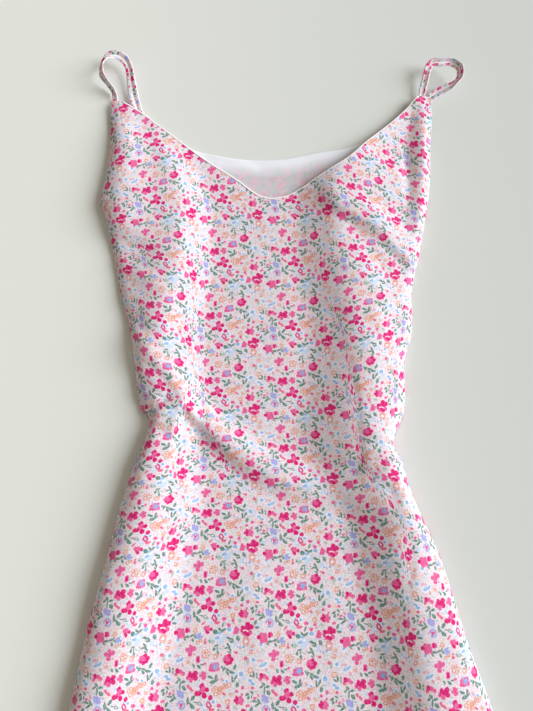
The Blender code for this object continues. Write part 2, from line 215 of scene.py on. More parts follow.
# Small creases, all in mm: start x, start y, end x, end y, sideways bow, width on the left
# of the way from start to end, width on its right, height (a trough where it is below zero)
CREASES = (
    (-150, 318, -98, 345, 4, 10, 16, 1.2),
    (-168, 300, -120, 312, 3, 12, 12, -1),
    (-185, 445, -166, 372, 3, 10, 14, 1.4),
    (-85, 102, -102, 8, -4.6, 3, 8, 2.6),
    (-143, 84, -121, 67, 1, 3, 3, -2.4),
    (-139, 95, -112, 79, 1, 4, 4, 1.6),
    (125, 310, 185, 288, 3, 5, 6, 1),
    (118, 300, 178, 272, -3, 5, 6, 1),
    (130, 285, 176, 262, 2, 5, 6, -0.8),
    (92, 136, 100, 20, 2, 4, 10, -1.2),
    (102, 10, 150, -35, 3, 4, 10, -1.2),
    (150, -35, 142, -130, 2, 4, 10, -1),
    (30, 330, 30, 60, 2, 22, 45, 2.4),
    (102, 327, 174, 275, 2, 6, 9, 1.5),
    (95, 297, 147, 223, 2, 6, 8, -1.6),
    (87, 250, 137, 203, 2, 6, 8, 1.2),
    (115, 191, 148, 143, 1, 6, 7, 1),
    (-193, 284, -124, 250, 2, 8, 8, -1.6),
    (-184, 256, -110, 206, 2, 7, 9, 1.7),
    (-168, 203, -122, 149, -2, 9, 7, -1.6),
    (-157, 167, -114, 118, 2, 6, 8, 1.4),
    (-137, 129, -106, 99, 0, 6, 6, -2),
    (-128, 62, -92, 87, 2, 4, 5, 1.8),
    (-126, 70, -99, 99, 1, 4, 4, -1.4),
    (-127, 59, -88, 35, -1, 5, 5, -1.6),
    (-106, 102, -88, 62, 1, 3, 3, -1),
    (-94, 104, -78, 66, -1, 3, 3, 1.1),
    (-82, 96, -68, 62, 1, 3, 3, -0.8),
    (-68, 88, -58, 55, -1, 3, 4, 0.9),
    (-112, 52, -68, 41, 2, 5, 6, 1.4),
    (-58, 63, -5, 24, -2, 5, 6, 1),
    (140, 39, 103, 55, 2, 5, 5, 1.3),
    (141, 35, 104, 29, -2, 5, 5, -1.2),
    (144, 29, 114, -3, 2, 5, 6, 1.2),
    (103, 41, 92, -1, 2, 5, 8, -1.6),
    (165, 167, 120, 141, 2, 7, 8, -1.4),
    (166, 203, 115, 184, -2, 7, 8, 1.3),
    (166, 136, 132, 99, 2, 6, 7, 1.2),
    (39, 203, 98, 167, 2, 9, 9, -0.8),
    (-52, 222, 2, 250, 2, 10, 12, 0.7),
    (-65, 167, -5, 141, 2, 12, 12, 0.6),
    (-17, -68, -4, -213, 2, 14, 16, 0.9),
    (42, -63, 55, -218, -2, 12, 18, -0.9),
    (-52, -43, -57, -159, 2, 10, 14, -0.7),
    (-166, 325, -121, 345, 2, 7, 7, 1),
    (-171, 358, -132, 389, 2, 7, 8, -0.9),
    (174, 431, 172, 318, 1, 5, 5, -1.4),
    (107, 400, 155, 369, 2, 9, 9, 0.8),
    (-32, 311, 40, 302, -3, 8, 9, 0.6),
    (157, -68, 136, 9, 3, 6, 8, 1),
    (179, -122, 194, -205, 2, 8, 8, 0.9),
    (-162, -83, -174, -168, 2, 8, 8, 0.9),
)

# Strap routes from the front peak round the loop to the back: x, y, z, width, roll in degrees
STRAP_THICK = 0.0018
LEFT_STRAP = (
    (-0.1935, 0.4579, 0.0038, 0.006, 0),
    (-0.1940, 0.4693, 0.0040, 0.006, 0),
    (-0.1948, 0.4770, 0.0053, 0.008, 20),
    (-0.1973, 0.4862, 0.0070, 0.010, 60),
    (-0.2026, 0.4935, 0.0090, 0.010, 68),
    (-0.2079, 0.5000, 0.0120, 0.010, 60),
    (-0.2119, 0.5068, 0.0145, 0.010, 45),
    (-0.2119, 0.5160, 0.0160, 0.010, 50),
    (-0.2086, 0.5261, 0.0165, 0.010, 35),
    (-0.2030, 0.5322, 0.0165, 0.011, 5),
    (-0.1942, 0.5334, 0.0160, 0.012, -18),
    (-0.1853, 0.5295, 0.0145, 0.012, -20),
    (-0.1790, 0.5211, 0.0120, 0.011, -16),
    (-0.1763, 0.5107, 0.0100, 0.011, -16),
    (-0.1748, 0.4999, 0.0085, 0.012, -14),
    (-0.1729, 0.4892, 0.0070, 0.013, -10),
    (-0.1707, 0.4785, 0.0052, 0.013, -5),
    (-0.1676, 0.4679, 0.0036, 0.012, 0),
    (-0.1634, 0.4568, 0.0028, 0.010, 0),
    (-0.1576, 0.4410, 0.0026, 0.010, 0),
)
RIGHT_STRAP = (
    (0.1967, 0.4579, 0.0054, 0.006, 0),
    (0.1984, 0.4693, 0.0056, 0.007, 0),
    (0.1992, 0.4785, 0.0060, 0.008, 0),
    (0.2008, 0.4877, 0.0082, 0.009, 5),
    (0.2034, 0.4976, 0.0105, 0.009, 10),
    (0.2057, 0.5070, 0.0130, 0.009, 8),
    (0.2088, 0.5169, 0.0150, 0.009, -10),
    (0.2158, 0.5216, 0.0165, 0.010, -25),
    (0.2239, 0.5212, 0.0170, 0.011, -25),
    (0.2343, 0.5219, 0.0170, 0.010, -35),
    (0.2432, 0.5186, 0.0165, 0.010, -48),
    (0.2485, 0.5115, 0.0155, 0.010, -50),
    (0.2482, 0.5034, 0.0140, 0.010, -45),
    (0.2426, 0.4961, 0.0120, 0.010, -40),
    (0.2338, 0.4904, 0.0095, 0.012, -8),
    (0.2240, 0.4868, 0.0070, 0.012, 3),
    (0.2152, 0.4818, 0.0046, 0.012, 3),
    (0.2065, 0.4749, 0.0030, 0.011, 0),
    (0.1972, 0.4642, 0.0027, 0.010, 0),
    (0.1863, 0.4513, 0.0026, 0.010, 0),
)

# One repeat of the print, charted. Places are in mm on the flat cloth from the middle of the repeat:
# across to the right and down towards the hem.
REPEAT_ACROSS = 84.5
REPEAT_DOWN = 79.5
LARGEST_DOT = 5.5         # mm, no dot's radius is more
LARGEST_ARC = 14.0        # mm, no leaf's side has a larger radius

# Dots and petals: across, down, radius
HOT_PINK = (
    (14.5, -30.5, 2.6), (15.0, -26.3, 2.5), (9.3, -30.3, 2.0), (12.0, -28.3, 2.6), (8.2, -27.6, 1.6),
    (20.6, -19.2, 1.6), (22.4, -20.4, 1.7), (27.0, -16.3, 2.3), (17.3, -12.3, 2.4), (20.0, -12.5, 2.1),
    (24.8, -10.8, 2.6), (31.0, -9.3, 2.3),
    (-20.0, 1.2, 2.6), (-16.3, 3.2, 2.6), (-19.5, 4.0, 2.8), (-22.8, 4.8, 2.3), (-25.3, 4.4, 1.8),
    (-25.8, 7.8, 1.4), (-22.0, 9.2, 1.8), (-19.5, 10.7, 2.0),
    (-27.5, -11.0, 1.5), (-28.8, -8.0, 1.7), (-27.2, -6.4, 1.5), (-27.0, -9.0, 1.8),
    (-8.0, 12.4, 2.1), (2.9, 9.3, 1.9), (2.9, 11.0, 1.6),
    (27.3, 7.8, 1.9), (24.0, 10.9, 1.8), (22.4, 9.8, 1.2),
    (-36.8, 31.2, 1.9), (-34.2, 34.3, 2.2), (-35.4, 37.4, 1.9), (-38.4, 38.6, 1.8), (-41.0, 36.9, 1.5),
    (16.2, 35.3, 1.4), (16.3, 37.3, 1.5), (-3.7, -32.4, 1.9), (-3.6, -30.9, 1.8),
)
MID_PINK = (
    (7.3, -25.8, 1.9), (10.5, -24.0, 2.2), (11.6, -26.2, 2.2), (9.4, -28.6, 2.4),
    (22.4, -18.6, 2.8), (22.6, -15.0, 2.9), (20.2, -14.0, 1.8),
    (22.5, -28.8, 2.4), (22.0, -31.2, 1.8), (24.5, -31.0, 1.4), (20.2, -28.8, 1.7), (24.5, -27.8, 1.6),
    (22.8, -26.8, 1.8),
    (-20.4, 8.2, 4.3), (-16.9, 8.8, 2.2), (-25.6, 6.2, 2.0), (-23.6, 10.2, 2.0),
    (-31.5, 7.2, 2.4), (-31.5, 4.8, 1.7), (-29.8, 6.8, 1.8), (-32.6, 9.3, 1.8), (-30.4, 9.2, 1.6),
    (-24.2, -8.6, 3.2), (-23.4, -11.0, 1.8), (-21.8, -8.6, 2.0), (-22.4, -5.8, 1.7), (-26.0, -5.8, 1.6),
    (-3.2, 13.0, 4.4), (-5.6, 9.7, 1.8), (-1.5, 9.8, 1.8), (-4.5, 16.4, 2.0), (-0.2, 15.4, 1.8),
    (4.9, 10.4, 1.7), (4.4, 8.4, 1.4),
    (23.0, 7.4, 2.9), (24.5, 5.5, 1.5), (20.9, 6.6, 1.6),
    (-38.0, 35.0, 4.6), (-40.8, 32.8, 1.8), (-42.0, 35.2, 1.6),
    (8.0, 28.4, 2.7), (8.0, 24.9, 2.0), (11.6, 26.6, 2.3), (4.8, 28.0, 2.1), (7.8, 31.9, 2.3),
    (16.2, 35.0, 2.1), (16.2, 37.6, 2.1),
    (29.2, -34.6, 1.9), (30.2, -37.6, 2.3), (33.6, -38.6, 2.8), (36.0, -39.4, 2.0), (36.6, -35.6, 2.3),
    (33.0, -35.2, 2.5), (31.2, -34.6, 2.0),
    (-4.6, -28.6, 1.8), (-0.4, -31.4, 2.2), (2.3, -29.6, 2.0),
    (-21.8, -20.0, 1.8), (-27.7, -16.3, 1.7), (-22.2, -13.9, 1.2), (-9.6, -10.9, 1.4), (-8.6, -11.4, 1.1),
    (-16.8, -3.9, 1.4), (-15.3, -4.3, 1.3), (-44.2, -2.6, 1.8), (-35.5, -1.8, 1.8), (-39.2, 3.2, 1.9),
    (-40.2, 2.4, 1.3), (39.5, -2.6, 1.9), (-29.7, 28.3, 1.4), (23.6, -39.8, 1.4), (-11.9, -20.2, 1.6),
)
ROSE_PINK = (
    (18.0, 3.5, 1.1), (19.2, 2.4, 1.2), (20.2, 1.4, 0.9), (8.0, -18.8, 1.5), (8.8, -17.4, 1.4),
    (11.0, -16.2, 1.5), (12.4, -15.0, 1.3), (22.2, 17.8, 1.1), (22.3, 20.6, 1.6), (-20.3, 32.8, 1.9),
    (31.6, 1.4, 1.6), (33.4, 1.5, 1.5), (35.0, 1.0, 1.1), (43.7, -13.7, 1.4), (-39.4, -13.0, 1.2),
    (-6.0, -14.2, 0.9), (-5.2, -12.9, 0.9), (-26.6, 23.0, 0.8), (-26.1, 24.1, 0.8), (-32.4, 27.5, 0.8),
    (-31.2, 27.9, 0.8), (11.8, 31.8, 0.9), (38.0, -27.4, 0.7), (41.0, -27.0, 0.8), (0.7, -38.2, 0.8),
    (1.4, -36.8, 0.8), (39.6, 30.6, 0.9), (-43.4, 23.0, 0.8), (20.4, 33.4, 0.6), (-33.8, 0.8, 0.8),
    (-7.2, 34.6, 0.7), (-5.2, 33.7, 0.7), (-3.2, 33.9, 0.7),
)
PEACH = (
    (-15.7, -37.0, 1.8), (-16.4, -34.6, 1.4), (-15.6, -20.6, 2.0), (-14.4, -22.4, 1.1),
    (-10.0, -19.4, 1.1), (-1.2, -28.0, 1.8), (35.4, -16.2, 1.3), (38.4, -15.6, 1.2), (12.6, 5.0, 1.6),
    (12.0, 7.2, 1.7), (13.0, 11.0, 1.4), (10.0, 7.8, 1.1), (18.0, 25.5, 1.5), (-11.8, 27.2, 1.5),
    (-8.0, 26.2, 1.7), (-16.6, 21.6, 1.3), (-44.6, -15.0, 2.2), (-35.8, -7.2, 1.8), (-34.8, -5.0, 1.5),
    (40.8, -24.0, 1.2), (19.2, 20.2, 1.1), (-12.8, 20.6, 0.9), (-43.2, -25.4, 1.2), (8.8, -38.4, 1.1),
    (-42.6, 10.6, 1.0), (4.4, 35.6, 0.9),
)
BLUE = (
    (-24.0, -32.2, 2.3), (-15.6, -26.8, 1.3), (-14.0, -26.5, 1.4), (-12.6, -24.2, 1.6),
    (-11.0, -24.0, 1.4), (-12.4, 33.7, 1.9), (-38.3, 7.0, 2.0), (-5.5, 19.0, 1.7), (-23.0, 22.3, 1.6),
    (34.0, -5.6, 1.6), (28.6, -6.4, 1.1), (35.4, 10.6, 1.3), (37.2, 10.5, 1.3), (33.0, 15.8, 1.5),
    (34.8, 15.2, 1.6), (-38.0, -24.6, 1.4), (-4.8, 38.9, 1.4), (-2.8, 38.8, 1.5), (-0.8, 37.6, 1.4),
    (0.6, 36.0, 1.3), (44.9, 7.0, 1.7), (17.0, 12.3, 1.2), (15.5, 17.0, 1.4), (-29.2, 22.8, 1.1),
)
PALE_BLUE = (
    (38.0, 17.6, 3.6), (40.6, 14.0, 2.4), (37.0, 14.0, 2.2), (-31.0, 20.0, 2.1), (-32.6, 22.0, 1.4),
    (1.6, -7.6, 2.4), (-13.0, 23.6, 1.5), (-3.4, 36.4, 1.8), (24.6, -1.0, 2.4), (-8.6, 1.2, 2.2),
    (17.0, -20.0, 1.8), (-21.6, -28.4, 2.2), (9.8, -20.8, 1.2), (26.0, 1.6, 2.0), (-30.2, -31.6, 2.2),
    (-4.4, 27.4, 1.5), (4.8, 0.4, 2.0), (-42.0, 13.0, 2.2), (-34.6, 12.0, 1.6),
)
LAVENDER = (
    (0.4, -11.2, 3.0), (2.6, -9.4, 2.2), (-1.6, -13.2, 1.5), (3.4, -12.2, 1.4), (18.2, 15.6, 1.4),
    (13.9, 14.8, 1.4), (15.2, 13.0, 1.4), (16.4, 14.8, 1.6), (36.0, -40.4, 1.2), (42.4, -25.4, 1.1),
    (30.6, 38.4, 0.9), (-28.0, 17.0, 0.9),
)

HALO = 1.2                # mm of white round each blue dot

# Rings drawn with a fine brush: across, down, radius
SALMON_RINGS = (
    (-20.7, 16.2, 2.9), (-20.7, 18.0, 2.9), (-15.4, 26.4, 1.6),
)
PINK_RINGS = (
    (29.4, -3.4, 1.9), (30.2, -2.0, 1.9),
)
PEACH_RINGS = (
    (33.4, -16.6, 1.6), (36.0, -18.6, 1.6), (39.2, -17.2, 1.7), (39.8, -14.2, 1.5), (36.2, -12.8, 1.7),
    (42.0, -18.4, 1.5), (-38.4, -20.4, 1.9), (-35.6, -21.8, 1.6), (-36.2, -6.4, 2.0), (-15.0, -36.2, 2.3),
    (22.4, 32.4, 1.9), (21.6, 29.2, 1.4), (24.6, 28.6, 1.3), (26.8, 30.4, 1.6), (25.2, 33.2, 1.5),
    (-13.6, 20.8, 1.2), (-44.0, -17.6, 1.8), (33.6, 33.0, 2.0), (35.4, 31.2, 1.2), (14.6, 20.6, 1.3),
    (17.6, 18.8, 1.2), (44.6, -21.4, 1.5), (-33.2, -13.0, 1.3), (6.8, -40.6, 1.2), (11.4, 9.6, 1.6),
)
PERIWINKLE_RINGS = (
    (2.3, -1.2, 3.5), (0.6, -11.0, 1.3), (15.8, 14.8, 1.1),
)

# Leaves: across, down, turn from level in degrees (a turn lowers the right end), length, width
LEAVES = (
    (-3.0, -21.8, -40, 4.9, 2.2), (3.0, -22.0, -20, 5.2, 2.6), (-0.6, -23.9, 70, 4.0, 2.1),
    (-2.0, -24.6, 50, 3.4, 1.7), (0.0, -18.6, 90, 9.0, 1.8), (4.2, -16.5, 50, 5.6, 3.7),
    (8.8, -5.2, 86, 7.8, 2.9), (13.7, -8.2, -56, 6.7, 3.4), (13.4, -0.5, 36, 6.3, 3.7),
    (14.6, -4.8, -4, 11.2, 1.5), (11.2, -3.0, 30, 4.5, 2.0), (20.4, -3.3, 24, 6.6, 3.0),
    (16.6, -4.4, 8, 6.0, 1.1), (35.2, -28.0, 104, 6.0, 2.4), (30.0, -27.7, 24, 6.7, 2.7),
    (32.6, -23.6, -18, 6.9, 3.7), (36.0, -25.2, -38, 5.6, 2.3), (-41.6, -35.8, 108, 4.9, 2.2),
    (-37.8, -32.6, 56, 6.0, 2.4), (-33.4, -33.2, 10, 6.7, 2.8), (-30.6, -38.0, 112, 5.8, 3.0),
    (-37.4, -35.4, 22, 6.7, 2.1), (-43.4, -37.2, 40, 4.3, 2.1), (-29.3, -28.4, 114, 6.7, 2.3),
    (-32.7, -27.0, 82, 7.4, 2.2), (-31.6, -25.0, -30, 3.8, 1.6), (-27.4, -22.2, 104, 5.8, 3.3),
    (-11.4, -32.6, 82, 7.2, 2.1), (-13.8, -31.0, 24, 4.7, 1.8), (-8.3, -33.2, 96, 2.9, 1.8),
    (-8.0, -30.4, 80, 3.1, 1.8), (-16.8, -14.0, -24, 4.5, 2.6), (-15.6, -11.2, 108, 4.7, 2.6),
    (-12.2, -16.0, 38, 5.2, 2.0), (-12.5, -12.2, 100, 3.8, 1.7), (-9.4, -8.3, 6, 6.3, 2.2),
    (-5.4, -9.2, 58, 5.6, 2.1), (-6.6, -5.4, -34, 6.3, 2.4), (-4.0, -7.0, 20, 3.6, 2.0),
    (-12.3, -1.0, 112, 6.0, 2.7), (-10.4, 3.5, 8, 5.6, 2.4), (39.3, 2.8, 112, 6.0, 2.3),
    (36.5, 7.7, 38, 5.6, 2.4), (40.6, 7.6, -38, 5.6, 2.4), (38.4, 9.0, 90, 3.6, 2.7),
    (-37.6, 15.4, 10, 5.6, 2.2), (-35.6, 18.2, 18, 5.2, 2.1), (-34.4, 16.4, 68, 4.9, 1.8),
    (-29.2, 14.8, 64, 5.8, 3.7), (-39.4, 14.6, -10, 4.0, 2.2), (-38.6, 21.4, 50, 6.0, 2.0),
    (-40.6, 24.3, -14, 5.2, 2.0), (-36.8, 25.2, 56, 6.3, 2.4), (-37.0, 28.2, 20, 4.7, 1.6),
    (3.6, 16.0, -4, 5.4, 2.6), (8.2, 14.8, -26, 5.8, 2.1), (1.4, 18.3, 42, 3.8, 2.2),
    (9.6, 18.9, 70, 4.7, 2.6), (12.0, 15.9, 40, 4.5, 2.4), (11.0, 13.2, -50, 3.1, 1.5),
    (32.0, 10.0, 20, 6.0, 4.6), (33.8, 22.6, -18, 5.6, 2.0), (34.8, 25.0, 84, 3.8, 1.6),
    (31.7, 26.0, 100, 4.3, 2.6), (35.8, 28.8, 76, 4.5, 2.6), (26.3, 18.4, 78, 3.8, 1.6),
    (12.3, -37.0, 62, 4.7, 2.3), (17.5, -36.6, 38, 5.6, 2.7), (20.8, -38.7, -8, 4.3, 2.0),
)
PALE_LEAVES = (
    (-25.6, -26.0, 10, 3.4, 1.5), (-28.3, -1.8, 30, 5.0, 2.8), (29.4, 19.0, -24, 6.2, 4.0),
    (-18.2, 35.4, 96, 7.4, 3.2), (6.8, -12.0, 8, 3.6, 2.0), (-2.6, 24.4, 30, 4.0, 1.8),
    (38.6, 25.6, 20, 3.6, 1.5), (-8.6, -17.0, 0, 5.0, 1.2), (32.6, 10.2, 20, 3.0, 1.6),
    (-30.0, -14.6, 60, 3.4, 1.2), (-33.0, 34.0, 80, 3.0, 1.6), (19.0, -24.0, 30, 3.0, 1.4),
)
WHITE_STROKES = (
    (-23.0, 7.0, -18, 3.6, 1.3), (-20.2, 7.2, 34, 3.4, 1.3), (29.8, -2.8, 56, 3.0, 1.6),
    (-20.7, 17.2, -20, 4.0, 2.8), (-1.4, 39.8, 10, 3.4, 1.2), (38.4, 13.4, 0, 3.4, 2.0),
    (-0.6, 1.2, 60, 2.6, 1.2), (25.6, -0.4, 40, 3.4, 1.6), (24.6, 30.6, 90, 2.2, 1.0),
    (-28.0, -26.8, 0, 3.0, 1.6), (20.6, -3.3, 24, 3.8, 0.9),
)
BLUE_HEARTS = (
    (34.0, -37.5, 2.0), (34.6, -38.2, 1.6),
)
BLUE_HEART_RINGS = (
    (34.1, -37.7, 2.9),
)
HEARTS = (
    (1.3, -2.1, 1.2), (3.2, -1.8, 1.2), (2.2, -0.4, 1.3), (1.9, 0.6, 0.9),
)

# Inks mixed, 0 to 255 as on a screen
GROUND = (242, 234, 244)
HOT_INK = (218, 6, 112)
HOT_LIT = (236, 78, 154)
MID_INK = (240, 116, 172)
MID_VEIN = (224, 56, 128)
ROSE_INK = (234, 110, 146)
PINK_RING_INK = (220, 78, 140)
HEART_INK = (222, 84, 144)
HEART_RING_INK = (190, 150, 206)
PEACH_INK = (243, 204, 184)
PEACH_RING_INK = (228, 150, 116)
SALMON_INK = (232, 146, 132)
LEAF_INK = (98, 138, 128)
LEAF_LIT = (156, 182, 176)
PALE_LEAF_INK = (180, 200, 194)
BLUE_INK = (158, 190, 236)
PALE_BLUE_INK = (204, 221, 247)
BLUE_HEART_INK = (150, 186, 236)
LAVENDER_INK = (176, 168, 230)
PERIWINKLE_INK = (166, 176, 232)
HALO_WHITE = (238, 242, 252)
STROKE_WHITE = (246, 238, 242)
COOL_SCRIBBLE = (146, 170, 172)
WARM_SCRIBBLE = (230, 160, 142)
ROSY_SCRIBBLE = (222, 140, 176)
REVERSE_WHITE = (246, 240, 240)
LINING_WHITE = (240, 243, 252)
# The lining's blots: the print showing through, greyed with painted shade
LINING_SHADED_GREY = (180, 192, 192)
LINING_ROSY = (218, 180, 196)
# White of the lining's rolled edge, also the straps' painted highlights
EDGE_AND_HIGHLIGHT_WHITE = (248, 246, 248)

# The brush: each noise has its waves per mm and its detail
SWAY_NOISE = (0.42, 1.0)
SWAY = 1.3                # mm, how far the brush wavers from side to side
SCRIBBLE_NOISE = (0.60, 2.0)
SCRIBBLE_LINE = 0.034     # half width of a scribbled line, in the noise's own values
SCRIBBLE_SOFT = 0.020
SCRIBBLE_SHARE = 0.62     # how strongly the fine scribbles show
DOT_SOFT = 0.10           # mm, how far ink fades on each side of an edge: of dots, leaves and rings
LEAF_SOFT = 0.06
RING_SOFT = 0.12

# Patches of ink: noise size and detail, the two noise values between which it runs, and its shares there
BROKEN = (0.85, 1.0, 0.38, 0.54, 0.30, 1.0)
LIT = (0.60, 0.5, 0.47, 0.57, 0.0, 0.60)
VEINED = (0.60, 0.5, 0.53, 0.45, 0.0, 0.55)
WARM = (0.15, 0.0, 0.44, 0.50, 0.0, 1.0)
ROSY = (0.15, 0.0, 0.54, 0.60, 0.0, 1.0)
WASH = (0.55, 3.0, 0.30, 0.70, 0.80, 1.10)
BLOTS = (82.0, 1.0, 0.38, 0.62, 0.0, 1.0)   # on the lining, in waves per metre

# The cloths: threads and heights in metres, the rest as shares
PRINTED_THREAD = 0.00032
PRINTED_RELIEF = 0.25
LINING_THREAD = 0.00022
LINING_RELIEF = 0.15
WEAVE_HEIGHT = 0.0001
SHEEN_ROUGH = 0.5         # both cloths' soft shine
CLOTH_SPECULAR = 0.25
REVERSE_SHOW = 0.45       # how much of the print shows on its wrong side
LINING_SHOW = 0.14        # how much of it tints the lining
LINING_TINT_AND_SHADE = 0.84        # how strong the tint is where the lining lies on the print: the print showing through, and painted shade that greys it
LINING_PLAIN = (0.009, 0.026)   # how far below its top, in metres, the tint and its painted shade start and are full

# How the print runs down the front: y, x of its middle line, place down the flat cloth, rise to the right,
# further fall of its left side, further fall of its right side
PRINT_RUN = (
    (0.4800, 0.0080, -0.6343, 0.00, 0.17, 0.20),
    (0.3957, 0.0082, -0.5495, 0.00, 0.17, 0.20),
    (0.3150, 0.0110, -0.4733, 0.00, 0.14, 0.18),
    (0.2323, 0.0101, -0.3939, 0.00, -0.10, -0.02),
    (0.1543, 0.0057, -0.3147, 0.01, -0.16, -0.05),
    (0.0781, 0.0070, -0.2360, -0.02, -0.05, -0.06),
    (0.0072, 0.0074, -0.1583, -0.04, 0.07, -0.09),
    (-0.0661, 0.0058, -0.0782, -0.05, 0.10, -0.03),
    (-0.1457, 0.0002, 0.0008, -0.05, 0.05, -0.03),
    (-0.3450, -0.0080, 0.2008, -0.05, 0.02, -0.03),
)
LEFT_FALL_START = 0.090   # how far from the middle line each further fall begins
RIGHT_FALL_START = 0.070

# Folds that take print out of sight: y, x, width of cloth taken up, half width of the fold
RIGHT_PLEAT = (
    (0.314, 0.075, 0.0000, 0.010),
    (0.255, 0.062, 0.0045, 0.010),
    (0.210, 0.066, 0.0065, 0.008),
    (0.155, 0.088, 0.0145, 0.005),
    (0.078, 0.093, 0.0270, 0.005),
    (0.040, 0.098, 0.0275, 0.005),
    (0.007, 0.108, 0.0205, 0.005),
    (-0.053, 0.143, 0.0105, 0.005),
    (-0.140, 0.139, 0.0040, 0.008),
    (-0.345, 0.150, 0.0030, 0.008),
)
RIGHT_EDGE_PLEAT = (
    (0.210, 0.155, 0.0000, 0.006),
    (0.166, 0.152, 0.0060, 0.006),
    (0.124, 0.142, 0.0080, 0.006),
    (0.083, 0.138, 0.0080, 0.005),
    (0.044, 0.130, 0.0040, 0.005),
    (0.005, 0.130, 0.0000, 0.005),
)
LEFT_PLEAT = (
    (0.234, -0.078, 0.0000, 0.0045),
    (0.155, -0.072, 0.0010, 0.0045),
    (0.078, -0.071, 0.0100, 0.0045),
    (0.007, -0.042, 0.0050, 0.0045),
    (-0.068, -0.028, 0.0000, 0.0045),
)
LEFT_CREST_PLEAT = (
    (0.349, -0.075, 0.0000, 0.012),
    (0.301, -0.076, 0.0030, 0.012),
    (0.255, -0.080, 0.0075, 0.012),
    (0.210, -0.081, 0.0130, 0.012),
    (0.166, -0.088, 0.0135, 0.010),
    (0.124, -0.080, 0.0125, 0.008),
    (0.083, -0.087, 0.0100, 0.006),
    (0.044, -0.100, 0.0085, 0.005),
    (0.005, -0.098, 0.0075, 0.007),
    (-0.032, -0.084, 0.0070, 0.010),
    (-0.069, -0.112, 0.0050, 0.012),
    (-0.138, -0.135, 0.0045, 0.012),
    (-0.345, -0.150, 0.0035, 0.012),
)
LEFT_EDGE_PLEAT = (
    (0.311, -0.163, 0.0000, 0.0045),
    (0.234, -0.140, 0.0040, 0.0045),
    (0.155, -0.140, 0.0010, 0.0045),
    (0.086, -0.128, 0.0000, 0.0045),
)
PLEATS = (RIGHT_PLEAT, RIGHT_EDGE_PLEAT, LEFT_PLEAT, LEFT_CREST_PLEAT, LEFT_EDGE_PLEAT)

# How finely the cloth is divided
ROLL_STEPS = 9            # columns round each rolled side edge
COLUMNS = 150             # columns between the rolled edges
BODY_ROWS = 202           # rows from the hem's close rows to the underarms
HEM_ROWS = 14             # close rows in the hem
HEM_CLOSE = 1.5 * HEM_TURN
UPPER_ROWS = 62           # rows from the underarms to the neckline
MEETING_STEPS = 30        # rounds that bring a column's ends onto the hem and the neckline
BACK_ROWS = 90            # the back's rows up to the underarms
BACK_UPPER = 24           # and above them
BACK_COLUMNS = 61
LINING_COLUMNS = 130
LINING_ROWS = 46
STRAP_STEP = 0.0020
STRAP_SIDES = 28

# Light and floor
WINDOW_POWER = 4.28
WINDOW_COLOUR = (0.96, 1.0, 1.03)
WINDOW_SPREAD = 38        # degrees across, for soft shadow edges
WINDOW_HEIGHT = 28        # degrees over the floor
WINDOW_TURN = 5           # degrees round the dress
ROOM_LIGHT = 0.29
ROOM_COLOUR = (1.12, 0.98, 0.82, 1.0)
FLOOR_SIZE = 6.0
# The floor's paint is even; its darkening towards the right is painted shade
FLOOR_LEFT = (0.79, 0.82, 0.78, 1.0)
FLOOR_RIGHT_SHADED = (0.655, 0.685, 0.665, 1.0)
FLOOR_SHADE_BLEND = (-0.30, 0.32)   # the x from which and to which its colour changes: painted shade, darker towards the right
FLOOR_ROUGH = 0.8

# The back panel
FLOOR_GAP = 0.0002        # it stands this clear of the floor
TURN_UP = 0.0008          # how far its margins rise to the side seams
TURN_UP_WIDTH = 0.005
BACK_TOP = 0.462

# The straps' section and print
STRAP_CUT = 0.024         # once round a strap
STRAP_GROOVE = 1.25       # depth of the groove along a strap's face, as a share of its half thickness
STRAP_HIGHLIGHT_RIM = 20            # degrees round the section from each side that the white rim of painted highlight covers
STRAP_SIDE_POWER = 0.8    # below 1, these two powers square the round section
STRAP_FACE_POWER = 0.7
STRAP_GROOVE_POWER = 16   # the larger, the narrower the groove
STRAP_PUCKER = 0.00025    # how far the stitched cloth puffs up between its stitches
STRAP_PUCKER_RUN = 0.0085
STRAP_PUCKER_LEAN = 2     # radians by which the puckers lag at the strap's sides
STRAP_GATHER = 1.35       # the stitched strap is drawn up, so its print lies closer
STRAP_FOLD = 0.031        # the folded halves of a strap show parts of the print this far apart
# Where each strap's print starts, across and down
STRAP_PRINT = {"left_strap": (-0.010, 0.000), "right_strap": (0.034, -0.030)}

# The back lining
LINING_FACE = 0.0023      # height of the lining's upper face in the neck opening
LINING_LEFT, LINING_RIGHT = -0.128, 0.150
LINING_MARGIN = 0.018     # how far the lining runs on under the front
LINING_ROLL = 0.003       # radius of its rolled edge at the back neckline
LINING_CREASES = (        # with the columns of CREASES
    (-75, 395, -10, 376, 3, 6, 9, 1),
    (-60, 384, 20, 374, 3, 8, 10, -0.7),
    (50, 395, 110, 402, -3, 10, 12, 0.5),
)

# The front lining's rolled edge, and its section in mm past the front's edge and over its outer face
NECK_CLEAR = 0.014        # it ends this far from the strap points
NECK_SECTION = (
    (-7.0, -1.3), (-4.5, -1.3), (-2.0, -1.3), (-0.3, -1.25), (0.8, -1.1), (1.35, -0.7), (1.4, -0.35),
    (1.1, -0.08), (0.5, 0.06), (-0.1, 0.08), (-0.5, 0.05),
)

# The camera and its distance over the floor
EYE_HEIGHT = 0.600
EYE_TILT = 13.0
FOCAL = 27.04             # mm, on a 36 mm frame along the picture's long side


